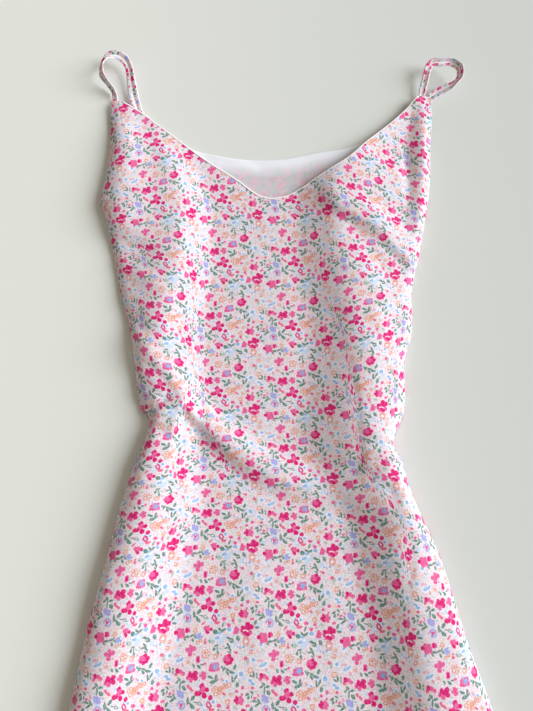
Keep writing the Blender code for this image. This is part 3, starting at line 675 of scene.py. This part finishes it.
def curve(table, column, at):
    """A column of a table read anywhere along its first column: a smooth curve that never overshoots."""
    rows = np.array(sorted(table), dtype=float)
    knots, values = rows[:, 0], rows[:, column]
    step = np.diff(knots)
    slope = np.diff(values) / step
    tangent = np.zeros_like(values)
    before, after = slope[:-1], slope[1:]
    monotone = before * after > 0
    tangent[1:-1][monotone] = 2 * before[monotone] * after[monotone] / (before + after)[monotone]
    tangent[0], tangent[-1] = slope[0], slope[-1]
    at = np.clip(at, knots[0], knots[-1])
    i = np.clip(np.searchsorted(knots, at, side="right") - 1, 0, len(knots) - 2)
    s = (at - knots[i]) / step[i]
    ends = values[i] * (1 + 2 * s) * (1 - s) ** 2 + values[i + 1] * s * s * (3 - 2 * s)
    return ends + step[i] * s * (1 - s) * (tangent[i] * (1 - s) - tangent[i + 1] * s)


def swell(t):
    """1 at a fold's crest and 0 at its foot: an even slope between a round crest and a round foot."""
    t = np.clip(np.abs(t), 0, 1)
    soft = 2 * CREST_SHARE * (1 - CREST_SHARE)
    even = (t - CREST_SHARE / 2) / (1 - CREST_SHARE)
    lower = np.where(t > 1 - CREST_SHARE, 1 - (1 - t) ** 2 / soft, even)
    return 1 - np.where(t < CREST_SHARE, t * t / soft, lower)


def fold(table, along, across):
    """Height that one fold adds."""
    crest, high, low_width, high_width = (curve(table, column, along) for column in (1, 2, 3, 4))
    return high * swell((across - crest) / np.where(across < crest, low_width, high_width))


def crease(row, x, y):
    """Height that one small crease adds: full in its middle, fading to its ends and sides."""
    x0, y0, x1, y1, bow, left_width, right_width, high = (MM * size for size in row)
    length = math.hypot(x1 - x0, y1 - y0)
    ahead = ((x1 - x0) / length, (y1 - y0) / length)
    t = np.clip(((x - x0) * ahead[0] + (y - y0) * ahead[1]) / length, 0, 1)
    aside = (y - y0) * ahead[0] - (x - x0) * ahead[1] - 4 * bow * t * (1 - t)
    width = np.where(aside > 0, left_width, right_width)
    return high * np.sin(math.pi * t) ** CREASE_FADE * np.exp(-((aside / width) ** 2))


def front_height(x, y):
    """Height of the front's outer face above the floor."""
    z = np.full(np.shape(x), FRONT_FACE)
    for table in DOWN_FOLDS:
        z = z + fold(table, y, x)
    for table in CROSS_FOLDS:
        z = z + fold(table, x, y)
    for row in CREASES:
        z = z + crease(row, x, y)
    up = y - hem_line(x)
    z = z + HEM_THICK * np.clip((HEM_TURN - up) / HEM_STEP, 0, 1)
    z = z - HEM_STITCH * np.exp(-(((up - HEM_TURN + HEM_STITCH_IN) / HEM_STITCH_WIDTH) ** 2))
    for inward, rim in ((x - curve(OUTLINE, 1, y), 3), (curve(OUTLINE, 2, y) - x, 4)):
        low = curve(OUTLINE, rim, y)
        z = low + (z - low) * np.sqrt(1 - (1 - np.clip(inward / ROLL, 0, 1)) ** 2)
    return z


def hem_line(x):
    """The hem's y: its middle reaches a little further down than its corners."""
    left, right = curve(OUTLINE, 1, HEM), curve(OUTLINE, 2, HEM)
    t = np.clip((x - left) / (right - left), 0, 1)
    return HEM - HEM_DIP * np.sin(math.pi * t)


def column_x(column, y):
    """The x of a column: (from the left edge, share of the middle, from the right edge) at a height y."""
    from_left, share, from_right = column
    left, right = curve(OUTLINE, 1, y), curve(OUTLINE, 2, y)
    if share is not None:
        return left + ROLL + share * (right - left - 2 * ROLL)
    return left + from_left if from_left is not None else right - from_right


def columns():
    """Columns across the front: close together round the rolled edges, even in between."""
    rolled = [ROLL * (1 - math.cos(0.5 * math.pi * k / ROLL_STEPS)) for k in range(ROLL_STEPS)]
    middle = [(None, k / COLUMNS, None) for k in range(COLUMNS + 1)]
    return [(e, None, None) for e in rolled] + middle + [(None, None, e) for e in reversed(rolled)]


def front_grid():
    """Outer face of the front: rows from the hem to the neckline, columns from left to right."""
    hem_share = HEM_CLOSE / (UNDERARM - HEM)
    close_shares = np.linspace(0, hem_share, HEM_ROWS + 1)[:-1]
    shares = np.concatenate([close_shares, np.linspace(hem_share, 1, BODY_ROWS + 1)])
    lines = []
    for column in columns():
        bottom = HEM
        top = UNDERARM
        for _ in range(MEETING_STEPS):
            bottom = float(hem_line(column_x(column, bottom)))
            top = 0.5 * (top + float(curve(NECKLINE, 1, column_x(column, top))))
        lower = bottom + (UNDERARM - bottom) * shares
        upper = UNDERARM + (top - UNDERARM) * np.linspace(0, 1, UPPER_ROWS + 1)[1:]
        y = np.concatenate([lower, upper])
        x = column_x(column, y)
        lines.append(np.stack([x, y, front_height(x, y)], axis=-1))
    return np.stack(lines, axis=1)


def normals(grid):
    """Upward unit normals of a grid of points."""
    down, across = np.gradient(grid, axis=0), np.gradient(grid, axis=1)
    n = np.cross(across, down)
    return n / np.linalg.norm(n, axis=-1, keepdims=True)


def cloth_places(grid):
    """Each point's place on the flat cloth: across and down, in metres from the middle of a repeat."""
    x, y, z = grid[..., 0], grid[..., 1], grid[..., 2]
    step = np.hypot(np.diff(x, axis=1), np.diff(z, axis=1))
    along = np.concatenate([np.zeros((len(grid), 1)), np.cumsum(step, axis=1)], axis=1)
    middle = curve(PRINT_RUN, 1, y[:, :1])
    start = np.array([[np.interp(m, xs, us)] for m, xs, us in zip(middle[:, 0], x, along)])
    across = along - start
    for table in PLEATS:
        fold_x, taken, half_width = (curve(table, column, y) for column in (1, 2, 3))
        past = np.clip((x - fold_x) / half_width, -1, 1)
        across = across + taken * (0.5 * past * (1.5 - 0.5 * past ** 2) + 0.5 * np.sign(fold_x))
    down = curve(PRINT_RUN, 2, y) + curve(PRINT_RUN, 3, y) * across
    down = down - curve(PRINT_RUN, 4, y) * np.maximum(-across - LEFT_FALL_START, 0)
    down = down - curve(PRINT_RUN, 5, y) * np.maximum(across - RIGHT_FALL_START, 0)
    return np.stack([across, down], axis=-1)


def put_in_scene(name, content):
    """A new object that holds a mesh, a light or a camera."""
    made = bpy.data.objects.new(name, content)
    bpy.context.scene.collection.objects.link(made)
    return made


def add_sheet(name, grid, places, thick, materials):
    """A thin closed sheet of cloth whose outer face is a grid of points."""
    rows, cols = grid.shape[:2]
    faces = [(i * cols + j, i * cols + j + 1, (i + 1) * cols + j + 1, (i + 1) * cols + j)
             for i in range(rows - 1) for j in range(cols - 1)]
    mesh = bpy.data.meshes.new(name)
    mesh.from_pydata(grid.reshape(-1, 3).tolist(), [], faces)
    laid = mesh.uv_layers.new(name="cloth")
    corners = np.zeros(len(mesh.loops), dtype=np.int32)
    mesh.loops.foreach_get("vertex_index", corners)
    laid.data.foreach_set("uv", places.reshape(-1, 2)[corners].astype(np.float32).ravel())
    for finish in materials:
        mesh.materials.append(finish)
    mesh.shade_smooth()
    piece = put_in_scene(name, mesh)
    wall = piece.modifiers.new("cloth thickness", "SOLIDIFY")
    wall.thickness = thick
    wall.offset = -1.0
    wall.use_rim = True
    wall.material_offset = len(materials) - 1
    wall.material_offset_rim = len(materials) - 1
    bpy.ops.object.select_all(action="DESELECT")
    piece.select_set(True)
    bpy.context.view_layer.objects.active = piece
    bpy.ops.object.modifier_apply(modifier=wall.name)
    return piece


def paint(ink):
    """An ink as the linear light that shaders use."""
    return (*(((level / 255 + 0.055) / 1.055) ** 2.4 for level in ink), 1.0)


def add(tree, kind, *feeds, **settings):
    """A shader node with its settings made and its inputs fed in order by sockets or plain values."""
    made = tree.nodes.new(kind)
    for key, setting in settings.items():
        setattr(made, key, setting)
    for slot, feed in zip(made.inputs, feeds):
        if isinstance(feed, bpy.types.NodeSocket):
            tree.links.new(feed, slot)
        elif feed is not None:
            slot.default_value = feed
    return made


def calc(tree, operation, *feeds):
    """A sum on numbers."""
    return add(tree, "ShaderNodeMath", *feeds, operation=operation).outputs[0]


def vec(tree, operation, *feeds):
    """A sum on places or colours."""
    made = add(tree, "ShaderNodeVectorMath", *feeds, operation=operation)
    return made.outputs["Value" if operation in ("DISTANCE", "LENGTH", "DOT_PRODUCT") else "Vector"]


def mix(tree, share, under, over):
    """The colour over laid on the colour under, as far as the share says."""
    made = tree.nodes.new("ShaderNodeMix")
    made.data_type = "RGBA"
    for slot, feed in ((0, share), (6, under), (7, over)):
        if isinstance(feed, bpy.types.NodeSocket):
            tree.links.new(feed, made.inputs[slot])
        else:
            made.inputs[slot].default_value = feed
    return made.outputs[2]


def noise(tree, place, size, detail):
    """Soft noise from 0 to 1."""
    return add(tree, "ShaderNodeTexNoise", place, None, size, detail).outputs["Fac"]


def patchy(tree, place, row):
    """A share that varies in patches, as a row of noise size, detail, noise values and shares says."""
    size, detail, *spread = row
    return add(tree, "ShaderNodeMapRange", noise(tree, place, size, detail), *spread).outputs[0]


def new_effect(name, inputs, outputs):
    """An empty shader group with named inputs and outputs, and its two end nodes."""
    effect = bpy.data.node_groups.new(name, "ShaderNodeTree")
    for label, kind in inputs:
        effect.interface.new_socket(label, in_out="INPUT", socket_type=kind)
    for label, kind in outputs:
        effect.interface.new_socket(label, in_out="OUTPUT", socket_type=kind)
    return effect, effect.nodes.new("NodeGroupInput"), effect.nodes.new("NodeGroupOutput")


def repeat_cells(tree, place):
    """The place within one repeat, four times over: counted from its middle, two sides and a corner."""
    half = (REPEAT_ACROSS / 2, REPEAT_DOWN / 2, 1)
    cells = {}
    for across in (0, half[0]):
        for down in (0, half[1]):
            moved = vec(tree, "SUBTRACT", place, (across, down, 0))
            cells[across, down] = vec(tree, "WRAP", moved, half, tuple(-h for h in half))
    return cells


def nearest_cell(cells, across, down):
    """The cell whose middle is nearest a motif, and where the motif is in it."""
    def inside(start):
        u = (across - start[0] + REPEAT_ACROSS / 2) % REPEAT_ACROSS - REPEAT_ACROSS / 2
        v = (down - start[1] + REPEAT_DOWN / 2) % REPEAT_DOWN - REPEAT_DOWN / 2
        return u, v
    start = min(cells, key=lambda cell: max(map(abs, inside(cell))))
    return cells[start], inside(start)


def nearest(tree, reaches):
    """The smallest of many distances."""
    least = reaches[0]
    for reach in reaches[1:]:
        least = calc(tree, "MINIMUM", least, reach)
    return least


def inked(tree, reach, limit, soft):
    """1 where a distance is under its limit, 0 past it, with a soft edge."""
    made = add(tree, "ShaderNodeMapRange", reach, limit + soft, limit - soft, 0.0, 1.0)
    return made.outputs[0]


def dots(tree, cells, rows):
    """Dots of any size share one limit, because a smaller dot's middle stands behind the cloth."""
    reaches = []
    for across, down, radius in rows:
        place, (u, v) = nearest_cell(cells, across, down)
        behind = math.sqrt(LARGEST_DOT ** 2 - radius ** 2)
        reaches.append(vec(tree, "DISTANCE", place, (u, v, behind)))
    return inked(tree, nearest(tree, reaches), LARGEST_DOT, DOT_SOFT)


def leaves(tree, cells, rows):
    """Each leaf is what two circles have in common."""
    reaches = []
    for across, down, turn, length, width in rows:
        place, (u, v) = nearest_cell(cells, across, down)
        radius = (length ** 2 + width ** 2) / (4 * width)
        aside = radius - width / 2
        behind = math.sqrt(max(0, LARGEST_ARC ** 2 - radius ** 2))
        du, dv = -math.sin(math.radians(turn)) * aside, math.cos(math.radians(turn)) * aside
        sides = [vec(tree, "DISTANCE", place, (u + s * du, v + s * dv, behind)) for s in (1, -1)]
        reaches.append(calc(tree, "MAXIMUM", *sides))
    return inked(tree, nearest(tree, reaches), LARGEST_ARC, LEAF_SOFT)


def rings(tree, cells, rows, brush):
    """Rings drawn with a brush of the given width."""
    reaches = []
    for across, down, radius in rows:
        place, (u, v) = nearest_cell(cells, across, down)
        off = calc(tree, "SUBTRACT", vec(tree, "DISTANCE", place, (u, v, 0)), radius)
        reaches.append(calc(tree, "ABSOLUTE", off))
    return inked(tree, nearest(tree, reaches), brush / 2, RING_SOFT)


def print_layers(effect, cells):
    """What each ink covers, from the ground's scribbles up to the strokes of white on the flowers."""
    patches = cells[0, 0]
    off = calc(effect, "SUBTRACT", noise(effect, patches, *SCRIBBLE_NOISE), 0.5)
    scribbles = inked(effect, calc(effect, "ABSOLUTE", off), SCRIBBLE_LINE, SCRIBBLE_SOFT)
    warm, rosy = patchy(effect, patches, WARM), patchy(effect, patches, ROSY)
    scribble_ink = mix(effect, warm, paint(COOL_SCRIBBLE), paint(WARM_SCRIBBLE))
    scribble_ink = mix(effect, rosy, scribble_ink, paint(ROSY_SCRIBBLE))
    lit, veined, broken = (patchy(effect, patches, row) for row in (LIT, VEINED, BROKEN))
    peach = dots(effect, cells, PEACH)
    peach_rings = rings(effect, cells, PEACH_RINGS, brush=1.25)
    salmon_rings = rings(effect, cells, SALMON_RINGS, brush=1.5)
    halos = [(across, down, radius + HALO) for across, down, radius in BLUE]
    return (
        (calc(effect, "MULTIPLY", scribbles, SCRIBBLE_SHARE), scribble_ink),
        (dots(effect, cells, halos), paint(HALO_WHITE)),
        (dots(effect, cells, PALE_BLUE), paint(PALE_BLUE_INK)),
        (calc(effect, "MULTIPLY", peach, broken), paint(PEACH_INK)),
        (calc(effect, "MULTIPLY", peach_rings, broken), paint(PEACH_RING_INK)),
        (calc(effect, "MULTIPLY", salmon_rings, broken), paint(SALMON_INK)),
        (leaves(effect, cells, PALE_LEAVES), paint(PALE_LEAF_INK)),
        (leaves(effect, cells, LEAVES), mix(effect, lit, paint(LEAF_INK), paint(LEAF_LIT))),
        (dots(effect, cells, BLUE), paint(BLUE_INK)),
        (dots(effect, cells, LAVENDER), paint(LAVENDER_INK)),
        (rings(effect, cells, PERIWINKLE_RINGS, brush=1.5), paint(PERIWINKLE_INK)),
        (dots(effect, cells, ROSE_PINK), paint(ROSE_INK)),
        (rings(effect, cells, PINK_RINGS, brush=1.4), paint(PINK_RING_INK)),
        (dots(effect, cells, MID_PINK), mix(effect, veined, paint(MID_INK), paint(MID_VEIN))),
        (dots(effect, cells, HOT_PINK), mix(effect, lit, paint(HOT_INK), paint(HOT_LIT))),
        (dots(effect, cells, HEARTS), paint(HEART_INK)),
        (dots(effect, cells, BLUE_HEARTS), paint(BLUE_HEART_INK)),
        (rings(effect, cells, BLUE_HEART_RINGS, brush=0.9), paint(HEART_RING_INK)),
        (leaves(effect, cells, WHITE_STROKES), paint(STROKE_WHITE)),
    )


def flower_print():
    """The printed repeat: small pink, peach and blue flowers with green leaves on off-white."""
    effect, start, end = new_effect(
        "flower_print", [("Place", "NodeSocketVector")], [("Colour", "NodeSocketColor")])
    place = vec(effect, "SCALE", start.outputs["Place"])
    place.node.inputs["Scale"].default_value = 1 / MM
    hand = add(effect, "ShaderNodeTexNoise", place, None, *SWAY_NOISE).outputs["Color"]
    sway = vec(effect, "MULTIPLY_ADD", hand, (SWAY, SWAY, 0), (-SWAY / 2, -SWAY / 2, 0))
    cells = repeat_cells(effect, vec(effect, "ADD", place, sway))
    colour = paint(GROUND)
    for share, ink in print_layers(effect, cells):
        colour = mix(effect, share, colour, ink)
    washed = vec(effect, "SCALE", colour)
    effect.links.new(patchy(effect, place, WASH), washed.node.inputs["Scale"])
    effect.links.new(washed, end.inputs["Colour"])
    return effect


def plain_weave():
    """Threads passing over and under each other: a height from 0 to 1."""
    inputs = [("Place", "NodeSocketVector"), ("Thread", "NodeSocketFloat")]
    effect, start, end = new_effect("plain_weave", inputs, [("Height", "NodeSocketFloat")])
    parts = add(effect, "ShaderNodeSeparateXYZ", start.outputs["Place"])
    waves = []
    for axis in ("X", "Y"):
        counted = calc(effect, "DIVIDE", parts.outputs[axis], start.outputs["Thread"])
        waves.append(calc(effect, "SINE", calc(effect, "MULTIPLY", counted, math.pi)))
    crossing = calc(effect, "MULTIPLY", *waves)
    effect.links.new(calc(effect, "MULTIPLY_ADD", crossing, 0.5, 0.5), end.inputs["Height"])
    return effect


def cloth_material(name, roughness, sheen, thread, relief):
    """A cloth with its weave in relief, its shader's colour still to be made."""
    finish = bpy.data.materials.new(name)
    finish.use_nodes = True
    tree = finish.node_tree
    shader = tree.nodes["Principled BSDF"]
    shader.inputs["Roughness"].default_value = roughness
    shader.inputs["Sheen Weight"].default_value = sheen
    shader.inputs["Sheen Roughness"].default_value = SHEEN_ROUGH
    shader.inputs["Specular IOR Level"].default_value = CLOTH_SPECULAR
    laid = add(tree, "ShaderNodeUVMap", uv_map="cloth").outputs[0]
    weave = add(tree, "ShaderNodeGroup", node_tree=WEAVE)
    tree.links.new(laid, weave.inputs["Place"])
    weave.inputs["Thread"].default_value = thread
    bump = add(tree, "ShaderNodeBump")
    bump.inputs["Strength"].default_value = relief
    bump.inputs["Distance"].default_value = WEAVE_HEIGHT
    tree.links.new(weave.outputs["Height"], bump.inputs["Height"])
    tree.links.new(bump.outputs["Normal"], shader.inputs["Normal"])
    return finish, tree, shader, laid


def printed_on(tree, laid):
    """The print's colour where the cloth lies."""
    inked_cloth = add(tree, "ShaderNodeGroup", node_tree=PRINT)
    tree.links.new(laid, inked_cloth.inputs["Place"])
    return inked_cloth.outputs["Colour"]


def printed_cloth():
    """The cloth's printed side."""
    finish, tree, shader, laid = cloth_material(
        "printed_cloth", roughness=0.85, sheen=0.12, thread=PRINTED_THREAD, relief=PRINTED_RELIEF)
    tree.links.new(printed_on(tree, laid), shader.inputs["Base Color"])
    return finish


def print_reverse():
    """The cloth's wrong side, where the print shows through pale."""
    finish, tree, shader, laid = cloth_material(
        "print_reverse", roughness=0.9, sheen=0.12, thread=PRINTED_THREAD, relief=PRINTED_RELIEF)
    pale = mix(tree, REVERSE_SHOW, paint(REVERSE_WHITE), printed_on(tree, laid))
    tree.links.new(pale, shader.inputs["Base Color"])
    return finish


def white_lining():
    """Fine white lining: plain along the neckline, with the print under it showing through soft below, and
    painted shade that greys it there.
    """
    finish, tree, shader, laid = cloth_material(
        "white_lining", roughness=0.8, sheen=0.15, thread=LINING_THREAD, relief=LINING_RELIEF)
    below_top = add(tree, "ShaderNodeSeparateXYZ", laid).outputs["Y"]
    blots = mix(tree, patchy(tree, laid, BLOTS), paint(LINING_SHADED_GREY), paint(LINING_ROSY))
    tint = mix(tree, LINING_SHOW, blots, printed_on(tree, laid))
    # The tint, print showing through and painted shade, grows from the plain top downwards
    tint_and_shade = add(tree, "ShaderNodeMapRange", below_top, *LINING_PLAIN, 0.0, LINING_TINT_AND_SHADE).outputs[0]
    tree.links.new(mix(tree, tint_and_shade, paint(LINING_WHITE), tint), shader.inputs["Base Color"])
    return finish


def white_edge_and_painted_highlight():
    """White for the lining's rolled edge, and for the painted highlights along the straps' folded edges and
    groove.
    """
    finish, _, shader, _ = cloth_material(
        "white_edge_and_painted_highlight", roughness=0.8, sheen=0.15, thread=LINING_THREAD, relief=LINING_RELIEF)
    shader.inputs["Base Color"].default_value = paint(EDGE_AND_HIGHLIGHT_WHITE)
    return finish


def floor_paint():
    """Plain pale paint, with painted shade that makes it a little darker towards the right."""
    finish = bpy.data.materials.new("floor_paint")
    finish.use_nodes = True
    tree = finish.node_tree
    shader = tree.nodes["Principled BSDF"]
    shader.inputs["Roughness"].default_value = FLOOR_ROUGH
    place = add(tree, "ShaderNodeTexCoord").outputs["Object"]
    across = add(tree, "ShaderNodeSeparateXYZ", place).outputs["X"]
    share = add(tree, "ShaderNodeMapRange", across, *FLOOR_SHADE_BLEND, 0.0, 1.0).outputs[0]
    tree.links.new(mix(tree, share, FLOOR_LEFT, FLOOR_RIGHT_SHADED), shader.inputs["Base Color"])
    return finish


PRINT = flower_print()
WEAVE = plain_weave()
printed = printed_cloth()
reverse = print_reverse()
white = white_lining()
edge_and_highlight_white = white_edge_and_painted_highlight()


def dress(piece, node):
    """The piece moves with the dress and stands for a solid, which is hidden."""
    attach(piece, "root")
    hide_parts(node)


def build_front():
    """The front panel, with its folds, from the hem to the V neck."""
    grid = front_grid()
    piece = add_sheet("front_cloth", grid, cloth_places(grid), SHEET, (printed, reverse))
    dress(piece, "front_panel")
    return grid


def build_back():
    """The back panel under the front: flat on the floor, its margins turned up to the side seams.

    Its columns run from right to left, so that its printed face points down.
    """
    upper_y = np.linspace(UNDERARM, BACK_TOP, BACK_UPPER)[1:]
    rows_y = np.concatenate([np.linspace(HEM, UNDERARM, BACK_ROWS), upper_y])
    shares = 0.5 - 0.5 * np.cos(np.linspace(0, math.pi, BACK_COLUMNS))[::-1]
    left = np.where(rows_y <= UNDERARM, curve(OUTLINE, 1, rows_y), curve(BACK_ARMHOLES, 1, rows_y))
    right = np.where(rows_y <= UNDERARM, curve(OUTLINE, 2, rows_y), curve(BACK_ARMHOLES, 2, rows_y))
    x = left[:, None] + shares * (right - left)[:, None]
    y = np.repeat(rows_y[:, None], len(shares), axis=1)
    y = y + np.clip((UNDERARM - y) / (UNDERARM - HEM), 0, 1) * (hem_line(x) - HEM)
    neck = curve(BACK_NECKLINE, 1, x)
    reach = np.clip((y - UNDERARM) / (BACK_TOP - UNDERARM), 0, 1)
    y = np.where(y > UNDERARM, UNDERARM + reach * (neck - UNDERARM), y)
    inward = np.minimum(x - left[:, None], right[:, None] - x)
    z = FLOOR_GAP + TURN_UP * (1 - np.clip(inward / TURN_UP_WIDTH, 0, 1)) ** 2
    grid = np.stack([x, y, z], axis=-1)
    places = cloth_places(grid[:, ::-1])[:, ::-1]
    piece = add_sheet("back_cloth", grid, places, SHEET, (printed, reverse))
    dress(piece, "back_panel")


def build_back_lining():
    """White lining on the back where the neck opening shows it, rolled over at the back neckline."""
    x = np.linspace(LINING_LEFT, LINING_RIGHT, LINING_COLUMNS)
    neck = curve(BACK_NECKLINE, 1, x)
    under = curve(NECKLINE, 1, x) - LINING_MARGIN
    shares = np.linspace(0, 1, LINING_ROWS)[:, None]
    y = under + shares * (neck - under)
    xs = np.repeat(x[None], len(shares), axis=0)
    z = np.full(y.shape, LINING_FACE)
    for row in LINING_CREASES:
        z = z + crease(row, xs, y)
    roll = np.clip(1 - (neck - y) / LINING_ROLL, 0, 1)
    z = z - (LINING_FACE - LINING_SHEET - SHEET - FLOOR_GAP) * (1 - np.sqrt(1 - roll ** 2))
    grid = np.stack([xs, y, z], axis=-1)
    places = np.stack([xs, neck - y], axis=-1)
    piece = add_sheet("back_neck_lining", grid, places, LINING_SHEET, (white,))
    dress(piece, "back_lining")


def build_neck_edge(grid):
    """The front's lining along its neckline, rolled out past the printed cloth by a hair."""
    edge, before = grid[-1], grid[-2]
    keep = (edge[:, 0] > edge[0, 0] + NECK_CLEAR) & (edge[:, 0] < edge[-1, 0] - NECK_CLEAR)
    along = (edge - before) / np.linalg.norm(edge - before, axis=1, keepdims=True)
    normal = normals(grid)[-1]
    rows = [edge + MM * (out * along + rise * normal) for out, rise in NECK_SECTION]
    strip = np.stack(rows)[:, keep]
    piece = add_sheet("neck_edge", strip, strip[..., :2], LINING_SHEET, (edge_and_highlight_white,))
    dress(piece, "front_neck_lining")


def strap_frames(route):
    """Centre, side and face directions, and width along a strap, with the length run so far."""
    rows = np.array(route, dtype=float)
    reach = np.concatenate([[0], np.cumsum(np.linalg.norm(np.diff(rows[:, :3], axis=0), axis=1))])
    table = [(s, *row) for s, row in zip(reach, rows)]
    at = np.linspace(0, reach[-1], round(reach[-1] / STRAP_STEP) + 1)
    centre = np.stack([curve(table, k, at) for k in (1, 2, 3)], axis=-1)
    width, roll = curve(table, 4, at), np.radians(curve(table, 5, at))
    ahead = np.gradient(centre, axis=0)
    ahead /= np.linalg.norm(ahead, axis=1, keepdims=True)
    level = np.cross(ahead, (0, 0, 1))
    level /= np.linalg.norm(level, axis=1, keepdims=True)
    upward = np.cross(level, ahead)
    side = np.cos(roll)[:, None] * level + np.sin(roll)[:, None] * upward
    face = np.cos(roll)[:, None] * upward - np.sin(roll)[:, None] * level
    return at, centre, side, face, width


def strap_rings(at, centre, side, face, width):
    """Rings of points along a strap: a flat round section with a groove, puckered between the stitches."""
    lines = []
    for k in range(STRAP_SIDES):
        turn = 2 * math.pi * k / STRAP_SIDES
        out = math.copysign(abs(math.cos(turn)) ** STRAP_SIDE_POWER, math.cos(turn))
        lift = math.copysign(abs(math.sin(turn)) ** STRAP_FACE_POWER, math.sin(turn))
        lift *= 1 - STRAP_GROOVE * max(0.0, math.sin(turn)) ** STRAP_GROOVE_POWER
        puckers = np.sin(2 * math.pi * at / STRAP_PUCKER_RUN + STRAP_PUCKER_LEAN * out)
        height = lift * (0.5 * STRAP_THICK + STRAP_PUCKER * puckers)
        lines.append(centre + 0.5 * width[:, None] * out * side + height[:, None] * face)
    return np.stack(lines, axis=1)


def print_strap(mesh, at, start):
    """Lays the print on a strap's panels. Its rims and the line down its groove are white: painted
    highlights along the strap's folded edges.
    """
    sides = STRAP_SIDES
    laid = mesh.uv_layers.new(name="cloth")
    for i in range(len(at) - 1):
        for k in range(sides):
            half = STRAP_FOLD if sides // 4 <= k < 3 * sides // 4 else 0.0
            first = 4 * (i * sides + k)
            for corner, (row, col) in enumerate(((i, k), (i + 1, k), (i + 1, k + 1), (i, k + 1))):
                across = start[0] + half + STRAP_GATHER * STRAP_CUT * (col / sides - 0.5)
                laid.data[first + corner].uv = (across, start[1] + half + STRAP_GATHER * at[row])
    mesh.materials.append(printed)
    mesh.materials.append(edge_and_highlight_white)
    # Painted highlights: the rims and one row of faces in the groove take the white finish
    for panel in mesh.polygons[:(len(at) - 1) * sides]:
        turn = 360 * (panel.index % sides + 0.5) / sides
        on_highlight_rim = min(turn % 180, 180 - turn % 180) < STRAP_HIGHLIGHT_RIM
        in_groove_highlight = panel.index % sides == sides // 4 - 1
        panel.material_index = 1 if on_highlight_rim or in_groove_highlight else 0


def build_strap(name, node, route):
    """A folded strip of the dress's cloth: from a front corner, round its loop and under the neckline."""
    at, centre, side, face, width = strap_frames(route)
    rings_along = strap_rings(at, centre, side, face, width)
    count, sides = rings_along.shape[:2]
    faces = []
    for start in range(0, (count - 1) * sides, sides):
        for k in range(sides):
            after = (k + 1) % sides
            faces.append((start + k, start + sides + k, start + sides + after, start + after))
    faces.append(tuple(range(sides)))
    faces.append(tuple((count - 1) * sides + k for k in range(sides - 1, -1, -1)))
    mesh = bpy.data.meshes.new(name)
    mesh.from_pydata(rings_along.reshape(-1, 3).tolist(), [], faces)
    print_strap(mesh, at, STRAP_PRINT[name])
    mesh.shade_smooth()
    piece = put_in_scene(name, mesh)
    dress(piece, node)


def build_floor():
    """The plain floor that the dress lies on."""
    bpy.ops.object.select_all(action="DESELECT")
    bpy.ops.mesh.primitive_plane_add(size=FLOOR_SIZE, location=(0, 0, 0))
    floor = bpy.context.object
    floor.name = "floor"
    floor.data.materials.append(floor_paint())


def build_light():
    """A wide soft light from the right, like a big window, and an even room light."""
    lamp = bpy.data.lights.new("window_light", "SUN")
    lamp.energy = WINDOW_POWER
    lamp.color = WINDOW_COLOUR
    lamp.angle = math.radians(WINDOW_SPREAD)
    window = put_in_scene("window_light", lamp)
    window.rotation_euler = (0, math.radians(90 - WINDOW_HEIGHT), math.radians(WINDOW_TURN))
    room = bpy.data.worlds.new("room")
    room.use_nodes = True
    glow = room.node_tree.nodes["Background"]
    glow.inputs["Color"].default_value = ROOM_COLOUR
    glow.inputs["Strength"].default_value = ROOM_LIGHT
    bpy.context.scene.world = room


def build_camera():
    """Looks down on the dress from the height that the photograph was taken at."""
    view = bpy.data.cameras.new("camera")
    view.lens = FOCAL
    eye = put_in_scene("camera", view)
    eye.location = (0, 0, EYE_HEIGHT)
    eye.rotation_euler = (math.radians(EYE_TILT), 0, 0)
    bpy.context.scene.camera = eye


build_camera()
build_light()
build_floor()
front = build_front()
build_back()
build_back_lining()
build_neck_edge(front)
build_strap("left_strap", "strap_left", LEFT_STRAP)
build_strap("right_strap", "strap_right", RIGHT_STRAP)
bpy.context.scene.view_settings.view_transform = "Standard"
